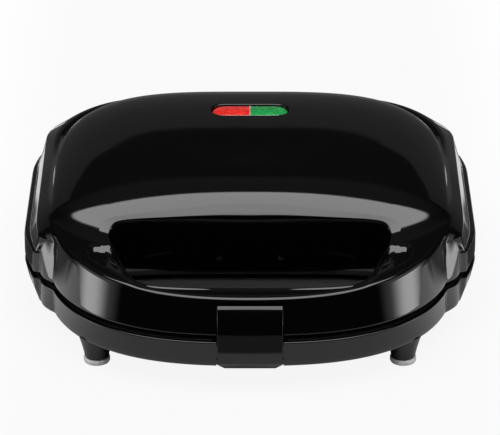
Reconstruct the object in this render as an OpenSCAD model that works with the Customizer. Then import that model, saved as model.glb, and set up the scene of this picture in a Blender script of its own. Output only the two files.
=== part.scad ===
// Sandwich toaster: a D-fronted clam-shell appliance with a hinged lid,
// a finger opening behind the front bar and a swinging latch clip.
// X is to the right, Y to the rear, Z up. Z = 0 is the table.
// The origin is the middle of the footprint.

/* [Cooking plates] */
// Width of a cooking plate
plate_w = 206; // [196:1:212]
// Depth of a cooking plate
plate_d = 112; // [104:1:116]
// Distance from the origin to the front edge of the plates
plate_lead = 30; // [26:0.5:34]
// Thickness of the plate flange
flange_t = 3; // [2.5:0.1:3.4]
// Depth of a sandwich pocket
pocket_h = 7.5; // [6:0.1:8]
// Metal under a pocket
pocket_skin = 2.5; // [2:0.1:2.6]
// Width of the ribs between the pockets
rib_w = 8; // [6:0.5:12]
// Gap between the two plates when closed
plate_gap = 0.4; // [0.3:0.1:0.8]
// Gap round each plate in its frame
plate_fit = 0.4; // [0.3:0.1:0.6]

/* [Housing outline] */
// From the side of the plates out to the half width of the nose
side_land = 5; // [4.5:0.5:8]
// From the rear edge of the plates back to the rear wall
rear_land = 17.5; // [16:0.5:20]
// Distance from the origin to the front of the nose
nose_reach = 107.5; // [104:0.5:112]
// Squareness of the nose curve, 2 is an ellipse
nose_power = 2.6; // [2.3:0.1:3]
// How far the main body stands out beyond the nose on each side
shoulder = 4.5; // [2:0.5:6]
// From the front of the nose back to the shoulder
shoulder_back = 58; // [54:0.5:62]
// Extra bulge of the side cheeks
cheek = 7; // [3:0.5:9]
// Radius of the rear corners in plan
rear_corner_r = 26; // [20:1:34]
// Wall thickness of the glossy shells
wall = 2; // [1.6:0.1:2.4]

/* [Heights] */
// Height of the base underside at its outer edge above the table
base_z = 15; // [13:0.5:18]
// Height of the base side wall
base_wall_h = 14.5; // [13:0.5:17]
// Open joint between the base and lid housings
joint_gap = 3; // [2.6:0.1:4]
// Height of the lid wall at the front
lid_wall_h = 18.1; // [17:0.1:20]
// Rise of the lid's top edge from front to rear
edge_rise = 19; // [14:1:24]
// Height of the domed lid top above its edge
dome_h = 20; // [16:1:22]
// Depth of the belly under the base
belly_h = 7; // [5:0.5:8]

/* [Lid top edge] */
// From the half width of the nose in to the crease round the lid top
crease_in = 2; // [1:0.5:6]
// From the front of the nose back to the crease
crease_back = 5.2; // [4:0.1:6.5]
// How far the crease stands out behind the rear wall
crease_over = 7.5; // [4:0.5:8]
// Radius of the rear corners of the crease
crease_corner_r = 50; // [40:1:55]

/* [Finger opening] */
// From the half width of the nose in to the side of the opening
opening_side = 34; // [30:1:42]
// Depth of the front bar, from the nose to the opening
front_bar = 12; // [10.5:0.5:13.5]
// From the rear edge of the opening back to the plates
opening_land = 9; // [7:0.5:12]
// Depth of the grip ledge behind the front bar
ledge_depth = 15.5; // [10:0.5:20]
// Height of the grip ledge above the grip block
ledge_h = 1.9; // [1:0.1:2.4]
// Size of the small pockets at the ends of the ledge
ledge_pocket = 6; // [4:0.5:8]

/* [Heating] */
// Radius of the tubular heating element
element_r = 3.3; // [2.8:0.1:3.4]
// Distance between the two legs of the element
element_pitch = 60; // [50:1:70]
// Thickness of the sheet heat shields
shield_t = 0.8; // [0.6:0.1:1]

/* [Hinges] */
// Distance of each hinge from the middle
hinge_x = 50; // [44:1:52]
// From the rear wall back to the hinge axis
hinge_back = 7; // [6.5:0.1:8]
// Radius of the hinge knuckles
knuckle_r = 5.5; // [5:0.1:5.8]
// Radius of the hinge pins
pin_r = 2; // [1.5:0.1:2.5]
// Half length of the base knuckle
knuckle_half = 6.9; // [5:0.1:8]
// Length of each lid knuckle
lid_knuckle_l = 5; // [4:0.5:6]

/* [Latch] */
// Width of the latch clip
latch_w = 33; // [28:0.5:36]
// Thickness of the latch clip
latch_t = 2.6; // [2.2:0.1:3]
// Radius of the latch pin
latch_pin_r = 1.3; // [1:0.1:1.5]
// Play between the clip and the sides of its slot
latch_play = 0.5; // [0.4:0.1:0.8]
// How far the clip stands proud of the lid wall
latch_proud = 1.2; // [0.8:0.1:1.5]

/* [Signal lamps] */
// Overall width of the pair of lenses
lens_w = 41; // [34:1:46]
// Depth of the lenses
lens_d = 14; // [12:0.5:16]
// From the rear wall forward to the lenses
lens_back = 41.5; // [38:0.5:48]

/* [Feet and cord outlet] */
// Radius of a foot pad
pad_r = 6.8; // [6:0.1:8]
// Thickness of a foot pad
pad_h = 3; // [2:0.5:4]
// From the half width of the nose in to the feet
foot_in = 29; // [26:1:34]
// From the front of the nose back to the front feet
front_foot_back = 34.5; // [32:0.5:38]
// From the rear wall forward to the rear feet
rear_foot_back = 27.5; // [24:0.5:36]
// Radius of the cord hole in the gland
cord_r = 3.2; // [2.5:0.1:3.6]
// Height of the cord outlet above the base underside
cord_rise = 6; // [5:0.5:7]

/* [Screws] */
// Radius of the screw shanks
screw_r = 1.5; // [1.2:0.1:1.6]
// Radius of the screw heads
screw_head_r = 2.8; // [2.4:0.1:3]
// Height of the screw heads
screw_head_h = 2; // [1.6:0.1:2.4]

/* [Hidden] */
$fn = 64;

gloss_black = "#0c0c0d";
satin_black = "#1b1b1c";
plate_black = "#2c2c2e";
steel = "#b9bcc0";
pad_grey = "#b4b5b6";
pale_plastic = "#d8d6cf";
wire_cream = "#e8e4dc";

far = 400;                  // longer than anything, for cutting
seat = 0.1;                 // gap where one piece rests on another
run = 0.08;                 // running clearance on a pin
snug = 0.02;                // clearance of a pin held in its bore
side_play = 0.3;            // gap between neighbouring knuckles

// Places in plan, from the plates and the nose outwards
plate_front = -plate_lead;
plate_rear = plate_front + plate_d;
plate_mid = (plate_front + plate_rear) / 2;
nose_half_w = plate_w / 2 + side_land;
rear_reach = plate_rear + rear_land;
shoulder_y = nose_reach - shoulder_back;
crease_half_w = nose_half_w - crease_in;
crease_front = nose_reach - crease_back;
crease_rear = rear_reach + crease_over;
opening_half_w = nose_half_w - opening_side;
opening_front = nose_reach - front_bar;
opening_rear = plate_lead + opening_land;
hinge_y = rear_reach + hinge_back;
lens_y = rear_reach - lens_back;
foot_x = nose_half_w - foot_in;
front_foot_y = nose_reach - front_foot_back;
rear_foot_y = rear_reach - rear_foot_back;

// Levels from the table up
base_rim_z = base_z + base_wall_h;
lid_rim_z = base_rim_z + joint_gap;
crease_front_z = lid_rim_z + lid_wall_h;
joint_z = base_rim_z + joint_gap / 2;
hinge_z = joint_z;
floor_t = wall;
belly_z = base_z - belly_h;

function smooth(t) = let (s = min(1, max(0, t))) s * s * (3 - 2 * s);
function mix(a, b, t) = a * (1 - t) + b * t;

// --- Plan curves ------------------------------------------------------
// A nose is a superellipse quarter: its half width at a distance y ahead
// of the origin, and its reach at a distance x from the middle.
function nose_x(y, a, b, n) = a * pow(max(0, 1 - pow(min(1, abs(y) / b), n)), 1 / n);
function nose_y(x, a, b, n) = -b * pow(max(0, 1 - pow(min(1, x / a), n)), 1 / n);

// The shoulder steps out from the nose to the main body, and the cheek
// swells beyond it and fades round the rear corners.
shoulder_run = 10;
cheek_start = shoulder_y - 11.5;
cheek_step = 2.5;
cheek_front = 0.42;         // share of the cheek that stands out right from its front end
cheek_rise = 32;
cheek_end = rear_reach - 2.5;
cheek_fade = 40;
function shoulder_at(y) = sin(90 * min(1, max(0, (y + shoulder_y) / shoulder_run)));
function cheek_at(y) = smooth((y + cheek_start) / cheek_step)
    * mix(cheek_front, 1, smooth((y + cheek_start + 4) / cheek_rise)) * smooth((cheek_end - y) / cheek_fade);

// Half of a plan outline from the middle of the front to the middle of
// the rear: a nose, then a side with its bulges, then a rounded corner.
front_parts = [0, 0.15, 0.3, 0.45, 0.58, 0.69, 0.78, 0.85];
side_steps = [-12.5, -6, -2, 0, 3, 6.5, 10, 11.5, 14, 17, 21, 27, 35, 46, 60, 77.5];
side_places = [for (d = side_steps) d - shoulder_y];
corner_steps = [0 : 15 : 90];
function side_x(y, a, b, n, out, bulge) =
    (y < 0 ? nose_x(y, a, b, n) : a) + out * shoulder_at(y) + bulge * cheek_at(y);
function half_outline(a, b, n, rear, r, out, bulge) = concat(
    [for (f = front_parts) [a * f, nose_y(a * f, a, b, n)]],
    [for (y = side_places) [side_x(y, a, b, n, out, bulge), y]],
    [for (t = corner_steps)
        let (w = a + out, y = rear - r + r * sin(t))
        [w - r + r * cos(t) + bulge * cheek_at(y) * (1 - t / 90), y]],
    [for (f = [0.75, 0.5, 0.25, 0]) [(a + out - r) * f, rear]]);
function both_sides(half) = concat(half,
    [for (i = [len(half) - 2 : -1 : 1]) [-half[i][0], half[i][1]]]);
function outline(a, b, n, rear, r, out, bulge) = both_sides(half_outline(a, b, n, rear, r, out, bulge));

// The housing outline at the joint, and the crease round the lid top
function body_outline(inset, cheek_part = 1) = outline(nose_half_w - inset, nose_reach - inset,
    nose_power, rear_reach - inset, rear_corner_r - inset, shoulder, cheek * cheek_part);
crease_power = 2.4;
function crease_outline(inset) = outline(crease_half_w - inset, crease_front - inset,
    crease_power, crease_rear - inset, crease_corner_r - inset, 0, 0);

// --- Lid top surface --------------------------------------------------
dome_power = 3.6;
dome_roll = 0.7;
dip_start = opening_rear + 23;
dip_run = 50;
function crease_z(y) = crease_front_z + edge_rise * (y + crease_front) / (crease_front + crease_rear);
function top_share(x, y) = y < 0
    ? pow(pow(abs(x) / crease_half_w, crease_power) + pow(-y / crease_front, crease_power), 1 / crease_power)
    : pow(pow(abs(x) / crease_half_w, dome_power) + pow(y / crease_rear, dome_power), 1 / dome_power);
function top_z(x, y) = crease_z(y) + dome_h * smooth((y + dip_start) / dip_run)
    * pow(max(0, 1 - pow(min(1, top_share(x, y)), dome_power)), dome_roll);

// --- Solids between rings ---------------------------------------------
// Skins a list of rings with the same number of points. A closed loft
// joins its last ring to its first, and an open one is capped.
module loft(rings, inward = false, closed = false) {
    n = len(rings[0]);
    m = len(rings);
    points = concat([for (r = rings) each r],
        closed ? [] : [ring_middle(rings[0]), ring_middle(rings[m - 1])]);
    bands = [for (k = [0 : m - (closed ? 1 : 2)], i = [0 : n - 1])
        let (j = (i + 1) % n, a = k * n, b = ((k + 1) % m) * n)
        each [[a + i, a + j, b + j], [a + i, b + j, b + i]]];
    caps = closed ? [] : concat(
        [for (i = [0 : n - 1]) [m * n, (i + 1) % n, i]],
        [for (i = [0 : n - 1]) [m * n + 1, (m - 1) * n + i, (m - 1) * n + (i + 1) % n]]);
    faces = concat(bands, caps);
    polyhedron(points, inward ? [for (f = faces) [f[0], f[2], f[1]]] : faces);
}
function ring_middle(ring) = [for (i = [0 : 2]) sum([for (p = ring) p[i]]) / len(ring)];
function sum(v, i = 0) = i < len(v) ? v[i] + sum(v, i + 1) : 0;
function at_z(ring, z) = [for (p = ring) [p[0], p[1], z]];

// --- Finger opening ---------------------------------------------------
opening_mid = opening_rear + 16;    // widest place of the opening
opening_steps = [-90 : 7.5 : 90];
opening_rear_power = 4;
grip_rear_y = -opening_front + ledge_depth;
function opening_point(t, grow) = let (
    n = t < 0 ? nose_power : opening_rear_power,
    deep = (t < 0 ? opening_front - opening_mid : opening_mid - opening_rear) + grow)
    [(opening_half_w + grow) * pow(cos(t), 2 / n),
     -opening_mid + deep * sign(t) * pow(abs(sin(t)), 2 / n)];
function opening(grow = 0) = both_sides([for (t = opening_steps) opening_point(t, grow)]);
function finger_hole(grow = 0) = [for (p = opening(grow)) [p[0], max(p[1], grip_rear_y)]];

// The opening's edge with one point for each point of the body outline
function opening_like(grow) = [for (p = body_outline(0)) let (
    dx = abs(p[0]) / nose_half_w,
    dy = (p[1] + opening_mid) / (p[1] < -opening_mid ? nose_reach - opening_mid : rear_reach + opening_mid),
    q = opening_point(atan2(dy, max(dx, 0.0001)), grow))
    [sign(p[0]) * q[0], q[1]]];

// --- Cooking plates ---------------------------------------------------
plate_corner_r = 12;
ledge_w = 6;                // frame ledge that carries the plate flange
lower_face_z = joint_z - plate_gap / 2;
upper_face_z = joint_z + plate_gap / 2;
pocket_margin = 12;
lower_element_z = lower_face_z - pocket_h - pocket_skin - seat - element_r;
pocket_draft = 3;

module plate_area(grow) {
    w = plate_w + 2 * grow;
    d = plate_d + 2 * grow;
    r = plate_corner_r + grow;
    translate([0, plate_mid]) {
        square([w - 2 * r, d], center = true);
        square([w, d - 2 * r], center = true);
        for (sx = [-1, 1], sy = [-1, 1]) translate([sx * (w / 2 - r), sy * (d / 2 - r)]) circle(r);
    }
}

// The two triangles of one square half, cut by a diagonal rib. The
// corners are blunted so that no pocket ends in a knife edge.
pocket_w = plate_w / 2 - pocket_margin - rib_w / 2;
pocket_d = plate_d - 2 * pocket_margin;
blunt = 9;
function triangle(shrink) = let (
    w = pocket_w - rib_w * 1.2, d = pocket_d - rib_w * 1.2,
    s = shrink, q = shrink * 2.2)
    [[s, s], [w - q - blunt, s], [w - q, s + blunt * 0.4], [w - q - blunt * 0.4, s + blunt],
     [s + blunt, d - q - blunt * 0.4], [s + blunt * 0.4, d - q], [s, d - q - blunt]];
function pocket_ring(shrink, z) = at_z(triangle(shrink), z);

// Places the four pockets of a plate whose face looks along dir
module pockets() {
    for (side = [-1, 1]) {
        translate([side * rib_w / 2, plate_mid - pocket_d / 2, 0]) scale_x(side) children();
        translate([side * (rib_w / 2 + pocket_w), plate_mid + pocket_d / 2, 0])
            rotate([0, 0, 180]) scale_x(side) children();
    }
}
module scale_x(side) {
    if (side < 0) mirror([1, 0, 0]) children();
    else children();
}
module pocket_void() {
    loft([pocket_ring(0, seat), pocket_ring(0, 0), pocket_ring(pocket_draft, -pocket_h)]);
}
module pocket_tub() {
    loft([pocket_ring(-pocket_skin, -flange_t / 2), pocket_ring(-pocket_skin, -flange_t),
        pocket_ring(pocket_draft - pocket_skin, -pocket_h - pocket_skin)]);
}

// One cooking plate, face up at Z = 0: a flange, four tubs and its
// fixing holes
plate_screw_spots = [for (sx = [-1, 1], sy = [-1, 1])
    [sx * (plate_w / 2 - pocket_margin / 2), plate_mid + sy * (plate_d / 2 - pocket_margin / 2)]];
module cooking_plate() {
    difference() {
        union() {
            translate([0, 0, -flange_t]) linear_extrude(flange_t) plate_area(0);
            pockets() pocket_tub();
        }
        pockets() pocket_void();
    }
}

// A U-shaped tubular element lying in the plane Z = 0
element_in = 41;            // from the side of a plate in to the bend of the element
element_half = plate_w / 2 - element_in;
terminal_l = 12;
terminal_r = 1.4;
module heating_element() {
    for (s = [-1, 1]) translate([0, plate_mid + s * element_pitch / 2, 0]) {
        translate([-element_half, 0, 0]) rotate([0, 90, 0]) cylinder(r = element_r, h = 2 * element_half);
        translate([element_half, 0, 0]) rotate([0, 90, 0]) cylinder(r = terminal_r, h = terminal_l);
    }
    translate([-element_half, plate_mid, 0]) rotate([0, 0, 90])
        rotate_extrude(angle = 180) translate([element_pitch / 2, 0]) circle(element_r);
}

// A screw with its head on Z = 0 and its shank pointing up
module screw(l) {
    translate([0, 0, -screw_head_h]) cylinder(r = screw_head_r, h = screw_head_h);
    cylinder(r = screw_r, h = l);
}

// --- Lid body ---------------------------------------------------------
frame_t = 3;
frame_fit = 0.2;            // gap between a frame and the shell round it
lean = (nose_reach - crease_front) / lid_wall_h;    // of the lid wall, per unit of height
lid_frame_inset = wall + frame_fit + lean * (frame_t + frame_fit);
lid_frame_z = lid_rim_z + frame_fit;
lid_frame_top = lid_frame_z + frame_t;
upper_ledge_z = upper_face_z + flange_t + seat;
boss_in = 22;               // from the half width of the nose in to the front bosses
rear_boss_in = 32;
rear_boss_back = 9.5;
boss_x = nose_half_w - boss_in;
boss_front_y = -shoulder_y + 3.5;
boss_rear_x = nose_half_w - rear_boss_in;
boss_rear_y = rear_reach - rear_boss_back;
boss_r = 4;
boss_spots = [for (s = [-1, 1]) each [[s * boss_x, boss_front_y], [s * boss_rear_x, boss_rear_y]]];
lid_screw_l = 12;

// A boss ends inside the skin, even on its side away from the middle
function boss_top(p) = top_z(p[0] + sign(p[0]) * boss_r * 0.7, p[1] + sign(p[1]) * boss_r * 0.7) - wall * 0.3;

// The cover is one closed skin. Its rings start at the foot of the finger
// well, climb to the edge of the opening, sweep over the top to the crease,
// go down the side to the rim, and come back along the inside. t runs from
// the rim to the crease, and the cheeks end at a step part of the way up.
// Above the step the sides stand nearly upright as far as a sloping band
// along the crease. At the nose and the rear the wall leans evenly instead.
band_t = 0.78;
band_lean = 0.12;
band_cheek = 0.12;
band_fade = 25;
function band_at(x, y) = shoulder_at(y) * smooth((abs(x) - crease_half_w + 31) / band_fade);
function lean_at(x, y, t) = mix(t, t < band_t ? band_lean * t / band_t
    : mix(band_lean, 1, (t - band_t) / (1 - band_t)), band_at(x, y));
function side_ring(t, inset, cheek_part) = let (
    low = body_outline(inset, cheek_part), high = crease_outline(inset))
    [for (i = [0 : len(low) - 1]) let (
        s = lean_at(low[i][0], low[i][1], t),
        x = mix(low[i][0], high[i][0], s), y = mix(low[i][1], high[i][1], s))
        [x, y, mix(lid_rim_z, crease_z(y), t)]];
function top_ring(u, inset, drop) = let (low = opening_like(inset), high = crease_outline(inset))
    [for (i = [0 : len(low) - 1]) let (
        x = mix(low[i][0], high[i][0], u), y = mix(low[i][1], high[i][1], u))
        [x, y, top_z(x, y) - drop]];
function well_foot(p) = p[1] > grip_rear_y + 3 ? lid_frame_top + seat : top_z(p[0], p[1]) - wall;
function well_ring(grow, low) = [for (p = opening_like(grow))
    [p[0], p[1], low ? well_foot(p) : top_z(p[0], p[1]) - wall]];
top_parts = [0.12, 0.26, 0.4, 0.54, 0.68, 0.8, 0.9, 0.97];
skin_rings = concat(
    [well_ring(0, true), top_ring(0, 0, 0)],
    [for (u = top_parts) top_ring(u, 0, 0)],
    [side_ring(1, 0, 0), side_ring(band_t, 0, band_cheek), side_ring(0.42, 0, band_cheek),
        side_ring(0.3, 0, 1), side_ring(0, 0, 1)],
    [side_ring(0, wall, 1), side_ring(0.26, wall, 1), side_ring(0.4, wall, band_cheek),
        side_ring(band_t - 0.02, wall, band_cheek), side_ring(0.9, wall, 0)],
    [for (i = [len(top_parts) - 1 : -1 : 0]) top_ring(top_parts[i], wall, wall)],
    [well_ring(wall, false), well_ring(wall, true)]);

latch_gap = latch_w / 2 + latch_play;
hinge_block_half = knuckle_half + side_play + lid_knuckle_l;
arm_low = 2.2;              // height of the lid arms above the hinge axis
arm_high = 8.2;

module lid_cover() {
    color(gloss_black) difference() {
        union() {
            loft(skin_rings, closed = true);
            for (p = boss_spots) translate([p[0], p[1], lid_frame_top + seat])
                cylinder(r = boss_r, h = boss_top(p) - lid_frame_top - seat);
        }
        translate([0, lens_y, lamp_floor_z]) linear_extrude(far) lens_pair_area(lens_fit);
        latch_slot();
        for (s = [-1, 1]) translate([s * hinge_x, 0, 0]) lid_arm_slot();
        for (p = boss_spots) translate([p[0], p[1], lid_frame_top - 1])
            cylinder(r = screw_r + snug, h = lid_screw_l + 1);
    }
}
module latch_slot() {
    translate([-latch_gap, -far, lid_rim_z - 1])
        cube([2 * latch_gap, far + slot_back_y, latch_slot_top - lid_rim_z + 1]);
}
// The arms' way through the rear wall, from inside the shell to well behind it
slot_lead = 8;
slot_l = 20;
module lid_arm_slot() {
    translate([-hinge_block_half - side_play, rear_reach - slot_lead, lid_rim_z - 1])
        cube([2 * (hinge_block_half + side_play), slot_l, hinge_z + arm_high + side_play - lid_rim_z + 1]);
}

module lid_inner_frame() {
    color(satin_black) difference() {
        translate([0, 0, lid_frame_z]) linear_extrude(frame_t) difference() {
            polygon(body_outline(lid_frame_inset, 0.8));
            polygon(finger_hole());
        }
        translate([0, 0, lid_frame_z - 1]) linear_extrude(upper_ledge_z - lid_frame_z + 1)
            plate_area(plate_fit);
        translate([0, 0, lid_frame_z - 1]) linear_extrude(frame_t + 2) plate_area(-ledge_w);
        latch_slot();
        for (s = [-1, 1]) translate([s * hinge_x, 0, 0]) lid_arm_slot();
        for (p = boss_spots) translate([p[0], p[1], lid_frame_z]) {
            translate([0, 0, -1]) cylinder(r = screw_r + run, h = frame_t + 2);
            translate([0, 0, -1]) cylinder(r = screw_head_r + side_play, h = screw_head_h / 2 + 1);
        }
        for (p = plate_screw_spots) translate([p[0], p[1], lid_frame_z])
            cylinder(r = screw_r + run, h = frame_t + 2);
    }
}

// The grip under and behind the front bar, with the latch pin bore
grip_z = lid_frame_top + seat;
grip_reach = nose_reach - 8;
grip_inset = 11.5;
slot_back_y = -nose_reach + 13;
latch_slot_top = crease_front_z - wall - 0.1;
grip_top = latch_slot_top - side_play;
latch_y = -nose_reach + 6.7;
latch_z = lid_rim_z + 6;
latch_barrel_r = latch_pin_r + 1.2;
ear_r = latch_barrel_r - 0.6;
ear_w = 4;
ear_gap = latch_gap + side_play;
latch_pin_half = latch_gap + 5;
pocket_x = opening_half_w - 21;     // of the pockets at the ends of the ledge
module handle_grip() {
    color(satin_black) difference() {
        union() {
            translate([0, 0, grip_z]) linear_extrude(grip_top - grip_z) grip_area(outline(
                nose_half_w - grip_inset, grip_reach, nose_power, rear_reach, rear_corner_r, 0, 0));
            translate([0, 0, grip_top - 1]) linear_extrude(ledge_h + 1) grip_area(opening(-plate_fit));
            for (s = [-1, 1]) translate([s * (ear_gap + ear_w / 2), 0, 0]) latch_ear();
        }
        translate([-ear_gap, -far, grip_z - 1]) cube([2 * ear_gap, far + slot_back_y, far]);
        translate([0, latch_y, latch_z]) rotate([0, 90, 0])
            cylinder(r = latch_pin_r + snug, h = 2 * latch_pin_half + 1, center = true);
        for (s = [-1, 1]) translate([s * pocket_x - ledge_pocket / 2, grip_rear_y - 1, grip_top - 1])
            cube([ledge_pocket, ledge_pocket, far]);
    }
}
module grip_area(shape) {
    intersection() {
        polygon(shape);
        translate([-far / 2, -far]) square([far, far + grip_rear_y]);
    }
}
module latch_ear() {
    translate([-ear_w / 2, latch_y, latch_z]) rotate([0, 90, 0]) cylinder(r = ear_r, h = ear_w);
    translate([-ear_w / 2, latch_y, latch_z - ear_r]) cube([ear_w, slot_back_y - latch_y - 2, 2 * ear_r]);
}

module latch_pin() {
    color(steel) translate([0, latch_y, latch_z]) rotate([0, 90, 0])
        cylinder(r = latch_pin_r, h = 2 * latch_pin_half, center = true);
}

module upper_plate() {
    color(plate_black) difference() {
        translate([0, 0, upper_face_z]) mirror([0, 0, 1]) cooking_plate();
        for (p = plate_screw_spots) translate([p[0], p[1], upper_face_z + flange_t - plate_screw_bite])
            cylinder(r = screw_r + snug, h = flange_t);
    }
}
plate_screw_bite = 2.6;     // depth of the blind screw holes in the flanges
upper_element_z = upper_face_z + pocket_h + pocket_skin + seat + element_r;
module upper_heating_element() {
    color(steel) translate([0, 0, upper_element_z]) heating_element();
}

// A folded sheet tray over the element, open towards the plate
shield_grow = -ledge_w - 0.7;       // both trays stand on a flange, inside the frame's ledge
shield_room = 2.2;
shield_vent_r = 3;
upper_shield_z = upper_element_z + element_r + shield_room;
module upper_heat_shield() {
    low = upper_face_z + flange_t + seat;
    color(steel) difference() {
        translate([0, 0, low]) linear_extrude(upper_shield_z - low) plate_area(shield_grow);
        translate([0, 0, low - 1]) linear_extrude(upper_shield_z - low - shield_t + 1)
            plate_area(shield_grow - shield_t);
        translate([0, plate_mid, low]) cylinder(r = shield_vent_r, h = far);
    }
}
plate_screw_l = frame_t + 1;
module upper_plate_screws() {
    color(steel) for (p = plate_screw_spots) translate([p[0], p[1], lid_frame_top])
        mirror([0, 0, 1]) screw(plate_screw_l);
}

// Half of the capsule-shaped pair of lenses
lens_fit = 0.3;
lens_gap = 0.3;
lens_proud = 0.4;
lens_h = 6;
lens_top = top_z(0, lens_y) + lens_proud;
lamp_room = 14.5;           // from the top of the lenses down to the lamp holder
lamp_floor_z = lens_top - lamp_room;
module lens_pair_area(grow = 0) {
    hull() for (s = [-1, 1]) translate([s * (lens_w - lens_d) / 2, 0]) circle(lens_d / 2 + grow);
}
module lens(side) {
    translate([0, lens_y, lens_top - lens_h]) linear_extrude(lens_h) intersection() {
        lens_pair_area();
        translate([side < 0 ? -far : lens_gap, -far / 2]) square([far - lens_gap, far]);
    }
}
module red_lens() { color("#d32a1e") lens(-1); }
module green_lens() { color("#14913c") lens(1); }

lamp_r = 2.8;
lamp_l = 12;
holder_t = 1.6;
holder_lug = 3;             // the holder's lugs stand this far outside the lenses
cradle = 2.4;               // height of the rests under the lamps
module lamp_holder() {
    lug_h = top_z(lens_w / 2 + holder_lug, lens_y) - wall - 1 - lamp_floor_z;
    color(pale_plastic) translate([0, lens_y, lamp_floor_z]) {
        translate([-lens_w / 2 - holder_lug, -lens_d / 2, 0])
            cube([lens_w + 2 * holder_lug, lens_d, holder_t]);
        for (x = [-lens_w / 2 - holder_lug, lens_w / 2 + holder_lug - holder_t])
            translate([x, -lens_d / 2, 0]) cube([holder_t, lens_d, lug_h]);
        for (s = [-1, 1]) translate([s * lens_w / 4 - holder_t / 2, -lamp_r / 2, 0])
            cube([holder_t, lamp_r, cradle]);
    }
}
module indicator_lamps() {
    color("#ff9a6a") for (s = [-1, 1])
        translate([s * lens_w / 4 - lamp_l / 2, lens_y, lamp_floor_z + cradle + lamp_r + seat])
            rotate([0, 90, 0]) cylinder(r = lamp_r, h = lamp_l);
}

thermostat_r = 7;
thermostat_h = 6.8;
thermostat_x = 24;
strap_t = 0.8;
strap_w = 3;
tub_back_z = upper_face_z + pocket_h + pocket_skin + seat;
module thermostat() {
    color(steel) translate([thermostat_x, plate_mid, tub_back_z]) {
        cylinder(r = thermostat_r, h = thermostat_h);
        translate([-strap_w / 2, -thermostat_r - strap_w, strap_w * 0.7])
            cube([strap_w, 2 * (thermostat_r + strap_w), strap_t]);
    }
}
fuse_r = 2.2;
fuse_l = 16;
module thermal_fuse() {
    color("#c9c2b2") translate([-thermostat_x, plate_mid, tub_back_z + fuse_r])
        rotate([90, 0, 0]) cylinder(r = fuse_r, h = fuse_l, center = true);
}

// A wire along a route that stays in one plane, square to normal
function unit(v) = v / norm(v);
function wire_way(route, i) = unit((i == 0 ? [0, 0, 0] : unit(route[i] - route[i - 1]))
    + (i == len(route) - 1 ? [0, 0, 0] : unit(route[i + 1] - route[i])));
module wire(r, route, normal) {
    loft([for (i = [0 : len(route) - 1]) let (side = cross(wire_way(route, i), normal))
        [for (k = [0 : 45 : 315]) route[i] + r * (cos(k) * side + sin(k) * normal)]]);
}
wire_r = 1.1;
lead_run = 22;              // along the lamp holder, before the wires turn down
lead_drop = 16;
lead_end = 2;               // their ends stand this far above the frame
module lid_wires() {
    high = lamp_floor_z - wire_r - seat;
    color(wire_cream) for (s = [-1, 1]) {
        x = s * lens_w / 4;
        wire(wire_r, [[x, lens_y + lead_end, high], [x, lens_y + lead_run, high],
            [x, boss_rear_y, lamp_floor_z - lead_drop], [x, boss_rear_y, lid_frame_top + wire_r + lead_end]],
            [1, 0, 0]);
    }
}

// One lid hinge: a foot on the frame, two arms and two knuckles
foot_front = rear_reach - 12.5;
foot_back = rear_reach - slot_lead - 1;
foot_t = 2.5;
arm_step = 2.6;             // the arm is this much lower at the knuckle than inside
module lid_hinge() {
    axis_at() difference() {
        union() {
            for (s = [-1, 1]) {
                x = s > 0 ? knuckle_half + side_play : -hinge_block_half;
                translate([x, 0, 0]) rotate([0, 90, 0]) cylinder(r = knuckle_r, h = lid_knuckle_l);
                translate([x, foot_front - hinge_y + 2, arm_low + arm_step])
                    cube([lid_knuckle_l, hinge_y - foot_front - 2, arm_high - arm_low - arm_step]);
                translate([x, -knuckle_r, arm_low]) cube([lid_knuckle_l, knuckle_r, arm_high - arm_low]);
            }
            translate([-hinge_block_half, foot_front - hinge_y, lid_frame_top + seat - hinge_z])
                cube([2 * hinge_block_half, foot_back - foot_front, foot_t]);
        }
        translate([-hinge_block_half - 1, 0, 0]) rotate([0, 90, 0])
            cylinder(r = pin_r + run, h = 2 * hinge_block_half + 2);
    }
}
module axis_at() {
    translate([0, hinge_y, hinge_z]) children();
}
module left_lid_hinge() { color(satin_black) translate([-hinge_x, 0, 0]) lid_hinge(); }
module right_lid_hinge() { color(satin_black) translate([hinge_x, 0, 0]) lid_hinge(); }

module lid_screws() {
    color(steel) for (p = boss_spots) translate([p[0], p[1], lid_frame_z + screw_head_h / 2])
        screw(lid_screw_l);
}

// --- Latch body -------------------------------------------------------
// The clip's side view, as [y, z] from the latch pin. It leans with the
// lid wall, turns upright at the joint and hooks under the keeper.
clip_round = 0.9;
clip_gap = 0.5;             // between the clip and the keeper
clip_top_z = latch_slot_top - 0.7;
clip_bend_z = lid_rim_z + 3.3;
clip_flare_z = base_z + 8;
clip_foot_z = base_z + 3.3;
clip_low_z = base_z - 1.5;
keeper_y = -nose_reach + 1.2;
keeper_low_z = base_z + 4.6;
tooth = 2.8;                // how far the tooth reaches in under the keeper
clip_back_y = keeper_y - clip_gap;
clip_face_y = clip_back_y - latch_t;
clip_lip = 2.6;             // how far the lip at its foot stands out
function wall_y(z) = -nose_reach + lean * (z - lid_rim_z);
clip_outer = [
    [wall_y(clip_top_z) - latch_proud + clip_round, clip_top_z],
    [wall_y(clip_top_z) - latch_proud, clip_top_z - clip_round],
    [clip_face_y, clip_bend_z],
    [clip_face_y - clip_lip / 4, clip_flare_z],
    [clip_face_y - clip_lip * 0.9, clip_foot_z + clip_round],
    [clip_face_y - clip_lip, clip_foot_z],
    [clip_face_y + clip_round, clip_low_z]];
clip_inner = [
    [clip_back_y, clip_low_z + 1.6],
    [clip_back_y + tooth, clip_low_z + 2.6],
    [clip_back_y + tooth, keeper_low_z - clip_round],
    [clip_back_y, keeper_low_z - side_play],
    [clip_back_y, clip_bend_z - 3],
    [keeper_y + 1.2, clip_bend_z + 1],
    [latch_y, latch_z - latch_barrel_r],
    [latch_y, latch_z + latch_barrel_r],
    [wall_y(latch_z + 5) + 1.4, latch_z + 5],
    [wall_y(clip_top_z) + 1.4, clip_top_z]];
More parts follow.
